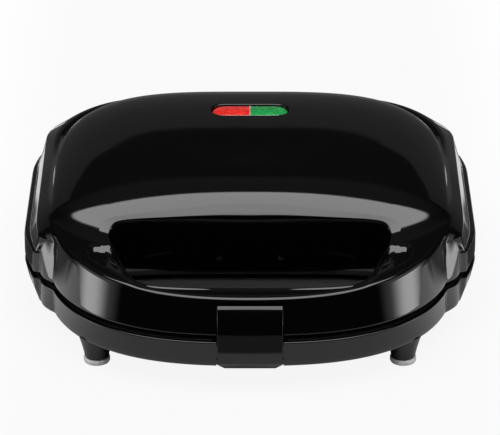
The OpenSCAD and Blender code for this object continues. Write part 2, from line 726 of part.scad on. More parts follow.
module latch_clip() {
    color(gloss_black) difference() {
        union() {
            difference() {
                rotate([90, 0, 90]) translate([0, 0, -latch_w / 2]) linear_extrude(latch_w)
                    polygon(concat(clip_outer, clip_inner));
                clip_corners();
            }
            translate([-latch_w / 2, latch_y, latch_z]) rotate([0, 90, 0])
                cylinder(r = latch_barrel_r, h = latch_w);
        }
        translate([-latch_w, latch_y, latch_z]) rotate([0, 90, 0])
            cylinder(r = latch_pin_r + run, h = 2 * latch_w);
    }
}
// Bevels at the lower corners of the clip
clip_bevel = 3.6;
module clip_corners() {
    for (s = [-1, 1]) translate([s * latch_w / 2, 0, clip_low_z]) rotate([0, 45, 0])
        cube([clip_bevel * sqrt(2), far, clip_bevel * sqrt(2)], center = true);
}

// --- Base body --------------------------------------------------------
base_flare = 1.5;           // the base rim stands out beyond the lid rim
belly_front = 36;
belly_shrink = 0.88;
base_frame_top = base_rim_z - frame_fit - 0.3;
base_frame_z = base_frame_top - frame_t;
function base_ring(z, inset, grow, cheek_part) = at_z([for (p = body_outline(inset, cheek_part))
    [p[0], p[1] - (p[1] < 0 ? grow * smooth(-p[1] / 60) : 0)]], z);
function belly_ring(z, inset) = at_z([for (p = body_outline(inset, 0))
    [p[0] * belly_shrink, p[1] < -belly_front ? -belly_front + inset : p[1] * 0.92]], z);
module base_bowl() {
    loft([belly_ring(belly_z, 0), base_ring(base_z - 1, 4, 0, 0), base_ring(base_z, 1, 0, 0.1),
        base_ring(base_z + 3, 0, 0, 0.35), base_ring(base_z + 8, 0, base_flare * 0.4, 0.8),
        base_ring(base_rim_z, 0, base_flare, 1),
        base_ring(base_rim_z, wall, base_flare, 1), base_ring(base_z + 8, wall, base_flare * 0.4, 0.8),
        base_ring(base_z + 3, wall, 0, 0.35),
        base_ring(base_z + floor_t, 1 + wall, 0, 0.05), base_ring(base_z - 1 + floor_t, 4 + wall, 0, 0),
        belly_ring(belly_z + floor_t, wall)], inward = true);
}
foot_top_r = 9;
foot_spots = [for (s = [-1, 1])
    each [[s * foot_x, -front_foot_y, base_z], [s * foot_x, rear_foot_y, belly_z + floor_t / 2]]];
front_boss_sink = 3.7;      // the bosses start in the sloping floor, below base_z
rear_boss_sink = 2;
function boss_low_z(p) = base_z - (p[1] < 0 ? front_boss_sink : rear_boss_sink);
shield_rib_in = 43;
shield_rib_half = plate_w / 2 - shield_rib_in;
shield_rib_t = 2;
keeper_play = tooth + 0.4;  // room for the tooth under the keeper
lower_shield_z = lower_element_z - element_r - 0.6 - shield_t;
cord_z = base_z + cord_rise;
gland_r = 5;
module base_shell() {
    color(gloss_black) difference() {
        union() {
            base_bowl();
            for (f = foot_spots) translate([f[0], f[1], pad_h])
                cylinder(r1 = pad_r - 0.6, r2 = foot_top_r, h = f[2] - pad_h);
            for (p = boss_spots) translate([p[0], p[1], boss_low_z(p)])
                cylinder(r = boss_r + 1, h = base_frame_z - seat - boss_low_z(p));
            for (y = [plate_mid - plate_d / 4, plate_mid + plate_d / 4])
                translate([-shield_rib_half, y - shield_rib_t / 2, belly_z + floor_t / 2])
                    cube([2 * shield_rib_half, shield_rib_t, lower_shield_z - seat - belly_z - floor_t / 2]);
            translate([-latch_gap - wall, keeper_y, keeper_low_z])
                cube([2 * (latch_gap + wall), wall, base_rim_z - keeper_low_z]);
        }
        translate([-latch_gap, -far, -1]) cube([2 * latch_gap, far + keeper_y, far]);
        translate([-latch_gap, -far, -1])
            cube([2 * latch_gap, far + keeper_y + keeper_play, keeper_low_z + 1]);
        for (s = [-1, 1])
            translate([s * hinge_x - knuckle_half - side_play, rear_reach - slot_lead, base_arm_z - side_play])
                cube([2 * (knuckle_half + side_play), slot_l, far]);
        translate([0, rear_reach, cord_z]) rotate([90, 0, 0])
            cylinder(r = gland_r + seat, h = slot_l, center = true);
        for (p = boss_spots) translate([p[0], p[1], -1]) {
            cylinder(r = screw_r + run, h = far);
            cylinder(r = screw_head_r + side_play, h = screw_seat_z + 1);
        }
    }
}
screw_seat_z = base_z + 3.5;
base_screw_l = base_frame_top - 1 - screw_seat_z;
module base_screws() {
    color(steel) for (p = boss_spots) translate([p[0], p[1], screw_seat_z]) screw(base_screw_l);
}

module base_inner_frame() {
    color(satin_black) difference() {
        union() {
            translate([0, 0, base_frame_z]) linear_extrude(frame_t) difference() {
                polygon(body_outline(wall + frame_fit, 0.9));
                polygon(finger_hole());
            }
            translate([0, 0, base_z + floor_t + seat]) linear_extrude(base_frame_z - base_z - floor_t)
                tray_wall();
        }
        translate([0, 0, lower_face_z - flange_t - seat]) linear_extrude(far) plate_area(plate_fit);
        translate([0, 0, base_frame_z - 1]) linear_extrude(far) plate_area(-ledge_w);
        translate([-latch_gap - wall - frame_fit, -far, 0])
            cube([2 * (latch_gap + wall + frame_fit), far + keeper_y + keeper_play + frame_fit, far]);
        for (p = boss_spots) translate([p[0], p[1], 0])
            cylinder(r = screw_r + snug, h = base_frame_top - 1 + seat);
        for (p = plate_screw_spots) translate([p[0], p[1], 0]) cylinder(r = screw_r + run, h = far);
    }
}

module tray_wall() {
    difference() {
        polygon(finger_hole(wall));
        polygon(finger_hole());
    }
}

module lower_plate() {
    color(plate_black) difference() {
        translate([0, 0, lower_face_z]) cooking_plate();
        for (p = plate_screw_spots) translate([p[0], p[1], lower_face_z - 2 * flange_t + plate_screw_bite])
            cylinder(r = screw_r + snug, h = flange_t);
    }
}
module lower_heating_element() {
    color(steel) translate([0, 0, lower_element_z]) heating_element();
}
module lower_heat_shield() {
    top = lower_face_z - flange_t - seat;
    color(steel) difference() {
        translate([0, 0, lower_shield_z]) linear_extrude(top - lower_shield_z) plate_area(shield_grow);
        translate([0, 0, lower_shield_z + shield_t]) linear_extrude(far) plate_area(shield_grow - shield_t);
        translate([wire_x[0] - wire_room, wire_turn[1], lower_element_z - wire_room])
            cube([wire_x[1] - wire_x[0] + 2 * wire_room, plate_rear - wire_turn[1], 2 * wire_room]);
    }
}
module lower_plate_screws() {
    color(steel) for (p = plate_screw_spots) translate([p[0], p[1], base_frame_z]) screw(plate_screw_l);
}

base_arm_h = 5;
base_arm_z = base_frame_z - seat - base_arm_h;
knuckle_web = 8;
module base_hinge() {
    axis_at() difference() {
        union() {
            translate([-knuckle_half, 0, 0]) rotate([0, 90, 0]) cylinder(r = knuckle_r, h = 2 * knuckle_half);
            translate([-knuckle_half, -knuckle_web / 2, base_arm_z - hinge_z])
                cube([2 * knuckle_half, knuckle_web, hinge_z - base_arm_z]);
            translate([-knuckle_half, foot_front - hinge_y, base_arm_z - hinge_z])
                cube([2 * knuckle_half, hinge_y - foot_front, base_arm_h]);
            translate([-hinge_block_half, foot_front - hinge_y, base_frame_z - seat - foot_t - hinge_z])
                cube([2 * hinge_block_half, foot_back - foot_front, foot_t]);
        }
        translate([-knuckle_half - 1, 0, 0]) rotate([0, 90, 0])
            cylinder(r = pin_r + snug, h = 2 * knuckle_half + 2);
    }
}
module left_base_hinge() { color(satin_black) translate([-hinge_x, 0, 0]) base_hinge(); }
module right_base_hinge() { color(satin_black) translate([hinge_x, 0, 0]) base_hinge(); }

module hinge_pin() {
    axis_at() rotate([0, 90, 0]) cylinder(r = pin_r, h = 2 * hinge_block_half, center = true);
}
module left_hinge_pin() { color(steel) translate([-hinge_x, 0, 0]) hinge_pin(); }
module right_hinge_pin() { color(steel) translate([hinge_x, 0, 0]) hinge_pin(); }

module foot_pad(side, y) {
    color(pad_grey) translate([side * foot_x, y, 0]) cylinder(r = pad_r, h = pad_h);
}
module front_left_foot_pad() { foot_pad(-1, -front_foot_y); }
module front_right_foot_pad() { foot_pad(1, -front_foot_y); }
module rear_left_foot_pad() { foot_pad(-1, rear_foot_y); }
module rear_right_foot_pad() { foot_pad(1, rear_foot_y); }

// The cord outlet: a bush through the rear wall with a collar outside
gland_out = 11;
gland_in = 4.5;
collar_t = 2.5;
tail_wall = 1.2;            // wall of the gland at its tapered end
module cord_gland() {
    color(satin_black) translate([0, rear_reach, cord_z]) rotate([-90, 0, 0]) difference() {
        union() {
            translate([0, 0, -gland_in]) cylinder(r = gland_r, h = gland_in + collar_t / 2);
            translate([0, 0, seat]) cylinder(r = gland_r + 1, h = collar_t);
            translate([0, 0, collar_t / 2])
                cylinder(r1 = gland_r, r2 = cord_r + tail_wall, h = gland_out - collar_t / 2);
        }
        translate([0, 0, -gland_in - 1]) cylinder(r = cord_r, h = gland_in + gland_out + 2);
    }
}
clamp_l = 7;
clamp_w = 18;
clamp_cap = 1.6;            // plastic above the cord
clamp_bite = 0.3;           // the clamp grips the cord, so its hole is tighter
clamp_z = base_z + floor_t + seat;
module cord_clamp() {
    color(pale_plastic) difference() {
        translate([-clamp_w / 2, rear_reach - gland_in - seat - clamp_l, clamp_z])
            cube([clamp_w, clamp_l, cord_z + cord_r + clamp_cap - clamp_z]);
        translate([0, rear_reach, cord_z]) rotate([90, 0, 0]) cylinder(r = cord_r - clamp_bite, h = far);
    }
}
block_x = 17;
block_w = 13;
block_d = 6.4;
block_h = 8;
block_y = plate_rear + 2;
block_lift = 1.8;           // it stands on a small pad of the floor
block_screw_r = 1.4;
block_pitch = 5;
module terminal_block() {
    color(wire_cream) difference() {
        translate([block_x, block_y, belly_z + floor_t + block_lift]) cube([block_w, block_d, block_h]);
        for (x = [block_w - block_pitch, block_w + block_pitch] / 2)
            translate([block_x + x, block_y + block_d / 2, base_z]) cylinder(r = block_screw_r, h = far);
    }
}
// The wires run along the rear of the plate, turn in beside the element and
// turn back to its two ends. Each bend of the outer wire clears the inner one.
wire_pitch = 3;
wire_room = 3;
wire_x = [element_half + wire_pitch, element_half + 2 * wire_pitch + 0.5];
wire_y = [plate_rear + 4.3, plate_rear + 4.3 + wire_pitch];
wire_bend = 6.5;            // between the two wires where they turn
wire_turn = [plate_rear - wire_bend - 9.5, plate_rear - 9.5];
wire_out = [element_half + terminal_l + wire_room, element_half + terminal_l + wire_room + wire_bend];
module base_wires() {
    z = lower_element_z;
    color(wire_cream) for (i = [0, 1]) {
        leg = plate_mid + (i == 0 ? 1 : -1) * element_pitch / 2;
        wire(wire_r, [[block_x + block_w, wire_y[i], z], [wire_x[i], wire_y[i], z],
            [wire_x[i], wire_turn[i], z], [wire_out[i], wire_turn[i], z],
            [wire_out[i], leg, z], [element_half + terminal_l, leg, z]], [0, 0, 1]);
    }
}

lid_cover();
lid_inner_frame();
handle_grip();
upper_plate();
upper_heating_element();
upper_heat_shield();
upper_plate_screws();
red_lens();
green_lens();
lamp_holder();
indicator_lamps();
thermostat();
thermal_fuse();
lid_wires();
left_lid_hinge();
right_lid_hinge();
lid_screws();
latch_pin();
latch_clip();
base_shell();
base_inner_frame();
lower_plate();
lower_heating_element();
lower_heat_shield();
lower_plate_screws();
left_base_hinge();
right_base_hinge();
left_hinge_pin();
right_hinge_pin();
front_left_foot_pad();
front_right_foot_pad();
rear_left_foot_pad();
rear_right_foot_pad();
cord_gland();
cord_clamp();
terminal_block();
base_wires();
base_screws();
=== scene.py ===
import math

import bmesh
import bpy
import numpy as np
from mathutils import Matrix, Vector


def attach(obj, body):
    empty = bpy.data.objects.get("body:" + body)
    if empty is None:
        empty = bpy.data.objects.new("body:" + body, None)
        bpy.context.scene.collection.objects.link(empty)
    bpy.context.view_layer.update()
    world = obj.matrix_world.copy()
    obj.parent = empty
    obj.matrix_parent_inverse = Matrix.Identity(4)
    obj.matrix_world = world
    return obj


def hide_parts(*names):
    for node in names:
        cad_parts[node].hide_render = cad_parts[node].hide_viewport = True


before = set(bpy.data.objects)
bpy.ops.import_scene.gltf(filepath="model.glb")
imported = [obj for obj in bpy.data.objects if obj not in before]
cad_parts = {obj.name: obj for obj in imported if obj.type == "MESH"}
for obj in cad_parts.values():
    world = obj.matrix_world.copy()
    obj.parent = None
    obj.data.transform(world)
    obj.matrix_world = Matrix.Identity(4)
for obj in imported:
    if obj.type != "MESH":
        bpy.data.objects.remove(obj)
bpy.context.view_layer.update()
mm = 0.001                      # the frame is in metres, and the sizes below are in millimetres


# Camera, floor and studio light

view = dict(distance=1600, elevation=26, target=(0, 0, 45), lens=216.6, sensor=36, tilt=0.0476,
            clip=(0.1, 50))


def placeCamera():
    aim = Vector(view["target"])
    e = math.radians(view["elevation"])
    back = Vector((0, -math.cos(e), math.sin(e)))
    camera = bpy.data.objects.new("camera", bpy.data.cameras.new("camera"))
    camera.data.lens, camera.data.sensor_width = view["lens"], view["sensor"]
    camera.data.clip_start, camera.data.clip_end = view["clip"]
    camera.location = (aim + back * view["distance"]) * mm
    # a hair's tilt upwards sets the object a little below the middle of the picture
    camera.rotation_euler = (math.radians(90 - view["elevation"] + view["tilt"]), 0, 0)
    bpy.context.scene.collection.objects.link(camera)
    bpy.context.scene.camera = camera


def toLinear(hexColour, share=1.0):
    # an sRGB hex colour as linear light, dimmed to a share of it
    channels = [int(hexColour[i:i + 2], 16) / 255 for i in (1, 3, 5)]
    linear = [c / 12.92 if c <= 0.04045 else ((c + 0.055) / 1.055) ** 2.4 for c in channels]
    return tuple(share * c for c in linear) + (1.0,)


def addNode(tree, kind, settings=None, **sockets):
    # a socket goes by its name, or by its place as in0, in1 and so on, and takes a value or a link
    node = tree.nodes.new(kind)
    for name, value in (settings or {}).items():
        setattr(node, name, value)
    for name, value in sockets.items():
        socket = node.inputs[int(name[2:])] if name.startswith("in") and name[2:].isdigit() \
            else node.inputs[name.replace("_", " ")]
        if isinstance(value, bpy.types.NodeSocket):
            tree.links.new(value, socket)
        else:
            socket.default_value = value
    return node


ending = (1.0, 0.0)             # the levels of a soft edge at which something ends


def product(tree, *factors):
    # a factor is a value alone, or a value with the start and end of a soft edge and the levels there
    total = None
    for value, *edge in factors:
        if edge:
            start, end, low, high = (edge + [0.0, 1.0])[:4]
            value = addNode(tree, "ShaderNodeMapRange", dict(interpolation_type="SMOOTHSTEP"),
                            in0=value, in1=start, in2=end, in3=low, in4=high).outputs[0]
        total = value if total is None else addNode(tree, "ShaderNodeMath", dict(operation="MULTIPLY"),
                                                    in0=total, in1=value).outputs[0]
    return total


def directRays(tree):
    # the light path, and 1 for what is seen straight on or through something clear
    rays = addNode(tree, "ShaderNodeLightPath").outputs
    seen = addNode(tree, "ShaderNodeMath", dict(operation="MAXIMUM"), in0=rays["Is Camera Ray"],
                   in1=rays["Is Transmission Ray"])
    return rays, seen.outputs[0]


# The studio, seen as directions: each light or board lies on a plane one unit away along an axis, and
# its edges are given on that plane, each with the width over which it fades
sideStrip = dict(axis="X", strength=7.6, across=(-0.29, 0.075, 0.3), along=(-0.16, 0.08, 0.1))
sideFill = dict(axis="X", strength=1.0, across=(-0.5, 0.2, 0.3), along=(0.0, 0.6, 0.1))
boards = dict(
    # the overhead box is weaker towards the camera, by the share that its grade gives
    overhead=dict(axis="Z", side=1, strength=6.4, grade=0.28, across=(-0.85, 0.85, 0.12),
                  along=(-1.05, 0.076, 0.03)),
    leftStrip=dict(sideStrip, side=-1), rightStrip=dict(sideStrip, side=1),
    leftFill=dict(sideFill, side=-1), rightFill=dict(sideFill, side=1),
    backdrop=dict(axis="Y", side=1, strength=0.11, across=(-0.8, 0.8, 0.6), along=(-0.5, 0.6, 0.03)),
)
# a dark room: black behind the camera, a little lighter behind the object, under it and overhead
room = dict(front=0.004, rear=0.026, rearEdge=(-0.1, 0.2), ceiling=0.11, ceilingEdge=(0.56, 0.92),
            under=0.22, underRear=0.05, underEdge=(0.55, 0.75), horizon=(-0.05, 0.0))


def buildStudio():
    world = bpy.data.worlds.new("studio")
    world.use_nodes = True
    tree = world.node_tree
    tree.nodes.clear()
    way = addNode(tree, "ShaderNodeTexCoord").outputs["Generated"]
    x, y, z = addNode(tree, "ShaderNodeSeparateXYZ", in0=way).outputs
    axes = dict(X=x, Y=y, Z=z)
    r = room
    layers = [product(tree, (y, *r["rearEdge"], r["front"], r["front"] + r["rear"])),
              product(tree, (z, *r["ceilingEdge"], 0.0, r["ceiling"])),
              product(tree, (y, *r["underEdge"], r["under"], r["underRear"]), (z, *r["horizon"], *ending))]
    for board in boards.values():
        ahead = product(tree, (axes[board["axis"]],), (float(board["side"]),))
        # the depth never comes down to nought, because the place on the board is divided by it
        depth = addNode(tree, "ShaderNodeMath", dict(operation="MAXIMUM"), in0=ahead, in1=0.001).outputs[0]
        inFront = addNode(tree, "ShaderNodeMath", dict(operation="GREATER_THAN"), in0=ahead, in1=0.0)
        factors = [(inFront.outputs[0],)]
        others = [axes[a] for a in "XYZ" if a != board["axis"]]
        for other, (low, high, fade) in zip(others, (board["across"], board["along"])):
            spot = addNode(tree, "ShaderNodeMath", dict(operation="DIVIDE"), in0=other, in1=depth).outputs[0]
            factors += [(spot, low - fade / 2, low + fade / 2),
                        (spot, high - fade / 2, high + fade / 2, *ending)]
        if "grade" in board:
            # spot is still the second coordinate, which falls from 0 overhead to -1 towards the camera
            graded = addNode(tree, "ShaderNodeMath", dict(operation="MULTIPLY_ADD"), in0=spot,
                             in1=board["grade"], in2=1.0)
            factors.append((graded.outputs[0],))
        layers.append(product(tree, *factors, (board["strength"],)))
    total = layers[0]
    for layer in layers[1:]:
        total = addNode(tree, "ShaderNodeMath", dict(operation="ADD"), in0=total, in1=layer).outputs[0]
    lightRoom = addNode(tree, "ShaderNodeBackground", in1=total)
    whiteRoom = addNode(tree, "ShaderNodeBackground", in0=(1, 1, 1, 1), in1=1.0)
    rays, seen = directRays(tree)
    both = addNode(tree, "ShaderNodeMixShader", in0=seen, in1=lightRoom.outputs[0], in2=whiteRoom.outputs[0])
    addNode(tree, "ShaderNodeOutputWorld", in0=both.outputs[0])
    bpy.context.scene.world = world


# The object stands on a pale sheet that is seen, in the gloss of the shell, to end beside it; the
# camera sees the same paper run on evenly. The sheet's diffuse tone is darker under the object and
# paler beside it: painted light, standing in for the side lamps lighting the paper beside the object.
paper = dict(reach=6000, brightness=0.97, plainShare=0.93, halfW=450, sideFade=3, front=-178, frontFade=8,
             rear=4, rearFade=28, farHalf=150, farY=165, farFade=10, farBack=420, farBackFade=20,
             tone=0.5, sideLitTone=0.92, sideLightEdge=(100, 180))


def buildFloor():
    f = paper
    r = f["reach"] * mm
    mesh = bpy.data.meshes.new("floor")
    mesh.from_pydata([(-r, -r, 0), (r, -r, 0), (r, r, 0), (-r, r, 0)], [], [(0, 1, 2, 3)])
    floor = bpy.data.objects.new("floor", mesh)
    bpy.context.scene.collection.objects.link(floor)
    material = bpy.data.materials.new("whitePaperSweep")     # matt paper with no gloss; painted light in its tone
    material.use_nodes = True
    tree = material.node_tree
    tree.nodes.clear()
    where = addNode(tree, "ShaderNodeTexCoord").outputs["Object"]
    x, y, z = addNode(tree, "ShaderNodeSeparateXYZ", in0=where).outputs
    aside = addNode(tree, "ShaderNodeMath", dict(operation="ABSOLUTE"), in0=x).outputs[0]

    def edge(value, middle, fade, *levels):
        return (value, (middle - fade) * mm, (middle + fade) * mm, *levels)

    def tail(start, fade):
        return (y, start * mm, (start + fade) * mm, *ending)

    # paler beside the object than in front of and behind it: painted light for the side lamps there
    tone = product(tree, (aside, *(e * mm for e in f["sideLightEdge"]), f["tone"], f["sideLitTone"]))
    sheet = addNode(tree, "ShaderNodeBsdfDiffuse", in0=tone)
    b = f["brightness"]
    plain = addNode(tree, "ShaderNodeEmission", in0=(b, b, b, 1), in1=1.0)
    rays, seen = directRays(tree)
    both = addNode(tree, "ShaderNodeMixShader", in0=product(tree, (seen,), (f["plainShare"],)),
                   in1=sheet.outputs[0], in2=plain.outputs[0])
    near = product(tree, edge(y, f["front"], f["frontFade"]), tail(f["rear"], f["rearFade"]))
    far = product(tree, edge(y, f["farY"], f["farFade"]), tail(f["farBack"], f["farBackFade"]),
                  edge(aside, f["farHalf"], f["farFade"]))
    patches = addNode(tree, "ShaderNodeMath", dict(operation="ADD"), in0=near, in1=far).outputs[0]
    onSheet = product(tree, edge(aside, f["halfW"], f["sideFade"], *ending), (patches,))
    off = addNode(tree, "ShaderNodeMath", dict(operation="SUBTRACT"), in0=1.0, in1=onSheet).outputs[0]
    gone = addNode(tree, "ShaderNodeBsdfTransparent")
    final = addNode(tree, "ShaderNodeMixShader", in0=product(tree, (rays["Is Glossy Ray"],), (off,)),
                    in1=both.outputs[0], in2=gone.outputs[0])
    addNode(tree, "ShaderNodeOutputMaterial", in0=final.outputs[0])
    mesh.materials.append(material)


placeCamera()
buildStudio()
buildFloor()
bpy.context.scene.view_settings.view_transform = "Standard"
print("stage: camera, floor and light are set")


# Materials, with the size of their grain and its depth in millimetres

noiseSpan = (0.3, 0.7)          # most of a noise lies between these values


def startMaterial(name, **shaderSockets):
    material = bpy.data.materials.new(name)
    material.use_nodes = True
    tree = material.node_tree
    shader = tree.nodes["Principled BSDF"]
    for socket, value in shaderSockets.items():
        shader.inputs[socket.replace("_", " ")].default_value = value
    return material, tree, shader


def grain(tree, size, detail=2.0, roughness=0.5):
    # a noise that is fixed to the piece, with features of about this size
    where = addNode(tree, "ShaderNodeTexCoord").outputs["Object"]
    noise = addNode(tree, "ShaderNodeTexNoise", Vector=where, Scale=1 / (size * mm), Detail=detail,
                    Roughness=roughness)
    return noise.outputs[0]


def workSkin(tree, shader, noise, rough=None, depth=None):
    # the noise moves the roughness between two values, and embosses the skin this deep
    if rough:
        spread = addNode(tree, "ShaderNodeMapRange", in0=noise, in1=noiseSpan[0], in2=noiseSpan[1],
                         in3=rough[0], in4=rough[1])
        tree.links.new(spread.outputs[0], shader.inputs["Roughness"])
    if depth:
        bump = addNode(tree, "ShaderNodeBump", Height=noise, Distance=depth * mm, Strength=1.0)
        tree.links.new(bump.outputs[0], shader.inputs["Normal"])


def twoTone(tree, shader, noise, first, second, span=noiseSpan):
    colour = addNode(tree, "ShaderNodeMix", dict(data_type="RGBA"), in0=product(tree, (noise, *span)),
                     in6=first, in7=second)
    tree.links.new(colour.outputs[2], shader.inputs["Base Color"])


def glossyBlackAbs():
    # ABS moulded in a polished tool: a deep mirror black whose reflections waver very slightly
    material, tree, shader = startMaterial("glossyBlackAbs", Base_Color=toLinear("#030303"), IOR=1.5)
    workSkin(tree, shader, grain(tree, 14, 3), rough=(0.035, 0.06))
    workSkin(tree, shader, grain(tree, 18, 1), depth=0.02)       # flow waves of the moulding
    return material


def satinBlackPolypropylene():
    # heat-proof polypropylene from a spark-eroded tool: fine matt grain
    material, tree, shader = startMaterial("satinBlackPolypropylene", Base_Color=toLinear("#171717"),
                                           IOR=1.49)
    workSkin(tree, shader, grain(tree, 0.5), (0.38, 0.5), 0.02)
    return material


def nonstickCoating():
    # PTFE coating on die-cast aluminium: dark grey, faintly speckled, softly shiny
    material, tree, shader = startMaterial("nonstickCoating", IOR=1.38)
    speck = grain(tree, 0.7, 3, 0.7)
    twoTone(tree, shader, speck, toLinear("#1d1d1f"), toLinear("#3a3a3c"), (0.45, 0.7))
    workSkin(tree, shader, speck, (0.28, 0.42), 0.015)
    return material


def scratchedSteel(name, colour, rough):
    # rolled or turned steel: a grey metal with fine scratches
    material, tree, shader = startMaterial(name, Base_Color=toLinear(colour), Metallic=1.0)
    workSkin(tree, shader, grain(tree, 0.8, 4, 0.7), rough, 0.008)
    return material


def greySiliconeRubber():
    # moulded silicone pad: pale grey, matt, slightly dusty
    material, tree, shader = startMaterial("greySiliconeRubber", IOR=1.41)
    dust = grain(tree, 1.6, 4, 0.6)
    twoTone(tree, shader, dust, toLinear("#b3b4b4"), toLinear("#c4c5c5"))
    workSkin(tree, shader, dust, (0.55, 0.7), 0.02)
    return material


def tintedPolycarbonate(name, colour, deep):
    # clear tinted polycarbonate over a pale holder: bright colour with a deeper tone inside
    material, tree, shader = startMaterial(name, IOR=1.585, Coat_Weight=0.5, Coat_Roughness=0.03,
                                           Subsurface_Weight=0.1, Subsurface_Radius=(0.002, 0.001, 0.001))
    cloud = grain(tree, 3)
    twoTone(tree, shader, cloud, toLinear(colour), toLinear(deep))
    workSkin(tree, shader, cloud, (0.06, 0.12))
    return material


def paleHeatProofNylon(colour="#d9d6cd", mottleShare=0.82):
    # unpainted nylon or glass-filled PBT: off-white with a dull, faintly mottled skin
    material, tree, shader = startMaterial("paleHeatProofNylon", IOR=1.53)
    mottle = grain(tree, 2.5, 4, 0.6)
    twoTone(tree, shader, mottle, toLinear(colour), toLinear(colour, mottleShare))
    workSkin(tree, shader, mottle, (0.4, 0.6), 0.01)
    return material


def neonLampGlass():
    # small neon tubes: clear glass, warm from the electrodes inside
    material, tree, shader = startMaterial("neonLampGlass", Base_Color=toLinear("#ffb89a"), IOR=1.5,
                                           Transmission_Weight=0.9)
    workSkin(tree, shader, grain(tree, 1.5), (0.02, 0.08))
    return material


glossBlack = glossyBlackAbs()
satinBlack = satinBlackPolypropylene()
nonstick = nonstickCoating()
steel = scratchedSteel("plainSteel", "#b9bbbe", (0.22, 0.36))               # bare wire and sheet
blackSteel = scratchedSteel("blackOxideSteel", "#26272a", (0.35, 0.5))      # blackened: dark and dull
screwSteel = scratchedSteel("zincPlatedSteel", "#c6c8c4", (0.2, 0.34))      # plated: paler and brighter
rubber = greySiliconeRubber()
redLens = tintedPolycarbonate("redPolycarbonate", "#d62f28", "#bd1f1a")
greenLens = tintedPolycarbonate("greenPolycarbonate", "#1f9147", "#147538")
pale = paleHeatProofNylon()
glass = neonLampGlass()
print("stage: materials are made")


# Plan curves of the housing, as in the part

housing = dict(noseHalfW=108, noseReach=107.5, nosePower=2.6, shoulder=4.5, shoulderY=49.5, shoulderRun=10,
               shoulderLean=(7.4, 3.7), cheek=7, cheekStart=38, cheekStep=2.5, cheekFront=0.42,
               cheekRiseFrom=42, cheekRise=32, cheekEnd=97, cheekFade=40, rearReach=99.5, rearCornerR=26,
               wall=2, baseZ=15, baseRimZ=29.5, lidRimZ=32.5, bellyZ=8, baseFlare=1.5)
crease = dict(halfW=106, front=101.9, rear=107, cornerR=50, power=2.4, frontZ=51.6, rise=17.9, round=2.6)
# the dome rises from the front deck in an S-curve, which starts later and is steeper towards the sides
dome = dict(height=20.8, rearHeight=20, roll=0.7, frontPower=2.65, rearPower=3.6, start=63.8, sideStart=40,
            run=46.5, sideRun=45, sidePower=4, bend=0.94, backStart=25, backRun=45)
# the edge of the hand opening, from the middle of its rear edge to the middle of the front bar
opening = dict(centreY=-66, roundings=3, samples=500,
               edge=((0, -40.6), (26, -40.4), (46.5, -40.2), (62, -39.2), (67.3, -39.0), (70, -39.5),
                     (71.8, -40.8), (72.5, -43.5), (72.2, -47.7), (69.9, -53), (67.2, -60.7), (64.6, -69),
                     (62.2, -77.5), (59.5, -83), (54.5, -88.2), (46, -91.4), (30, -92.4), (0, -92.6)))
# a shallow hollow for the thumb beside each end of the opening, with its outer edge as y and x
dish = dict(rearY=-50, ramp=8, depth=3.0, frontY=-84, frontDepth=0.6, sideRamp=4.5,
            side=((-48, 84.5), (-57, 84.2), (-65, 82), (-72, 76), (-78, 70), (-83, 65.0), (-100, 50)))
# points of an outline: across the nose, in stretches of the side from y to y, and round the back; they
# are closest where the shoulder and the front of the cheek are
points = dict(noseShare=0.85, nose=56, ends=8, corner=28, back=24,
              side=((-62, -51, 12), (-51, -33, 72), (-33, -14, 25), (-14, 28, 15)))


def smooth(t):
    s = np.clip(t, 0, 1)
    return s * s * (3 - 2 * s)


def mix(a, b, t):
    return a * (1 - t) + b * t


def noseX(y, a, b, n):
    return a * np.maximum(0, 1 - np.minimum(1, np.abs(y) / b) ** n) ** (1 / n)


def noseY(x, a, b, n):
    return -b * np.maximum(0, 1 - np.minimum(1, x / a) ** n) ** (1 / n)


def shoulderAt(y, lag=0.0):
    return np.sin(np.pi / 2 * np.clip((y + housing["shoulderY"] - lag) / housing["shoulderRun"], 0, 1))


def cheekAt(y):
    # the cheek starts with a step, grows to its full width and fades out at the rear
    h = housing
    start = smooth((y + h["cheekStart"]) / h["cheekStep"])
    growth = mix(h["cheekFront"], 1, smooth((y + h["cheekRiseFrom"]) / h["cheekRise"]))
    return start * growth * smooth((h["cheekEnd"] - y) / h["cheekFade"])


def halfOutline(a, b, n, rear, r, out, bulge, lag=0.0):
    # from the middle of the nose, round the right side, to the middle of the back
    p = points
    front = a * np.linspace(0, p["noseShare"], p["nose"])
    parts = [np.column_stack([front, noseY(front, a, b, n)])]
    corner = rear - r
    bend = noseY(p["noseShare"] * a, a, b, n)
    ends = np.linspace(0, 1, p["ends"] + 1)[1:]
    y = np.concatenate([mix(bend, p["side"][0][0], ends)]
                       + [np.linspace(start, end, count + 1)[1:] for start, end, count in p["side"]]
                       + [mix(p["side"][-1][1], corner, ends)])
    x = np.where(y < 0, noseX(y, a, b, n), a) + out * shoulderAt(y, lag) + bulge * cheekAt(y)
    parts.append(np.column_stack([x, y]))
    t = np.linspace(0, np.pi / 2, p["corner"] + 1)[1:]
    y = corner + r * np.sin(t)
    x = a + out - r + r * np.cos(t) + bulge * cheekAt(y) * (1 - t / (np.pi / 2))
    parts.append(np.column_stack([x, y]))
    x = (a + out - r) * np.linspace(1, 0, p["back"] + 1)[1:]
    parts.append(np.column_stack([x, np.full(len(x), float(rear))]))
    return np.concatenate(parts)


def bothSides(half):
    return np.concatenate([half, half[-2:0:-1] * (-1, 1)])


def bodyOutline(inset=0.0, cheekPart=1.0, lag=0.0):
    h = housing
    return bothSides(halfOutline(h["noseHalfW"] - inset, h["noseReach"] - inset, h["nosePower"],
                                 h["rearReach"] - inset, h["rearCornerR"] - inset, h["shoulder"],
                                 h["cheek"] * cheekPart, lag))


def creaseOutline(inset=0.0):
    c = crease
    return bothSides(halfOutline(c["halfW"] - inset, c["front"] - inset, c["power"], c["rear"] - inset,
                                 c["cornerR"] - inset, 0, 0))


def creaseZ(y):
    return crease["frontZ"] + crease["rise"] * (y + crease["front"]) / (crease["front"] + crease["rear"])


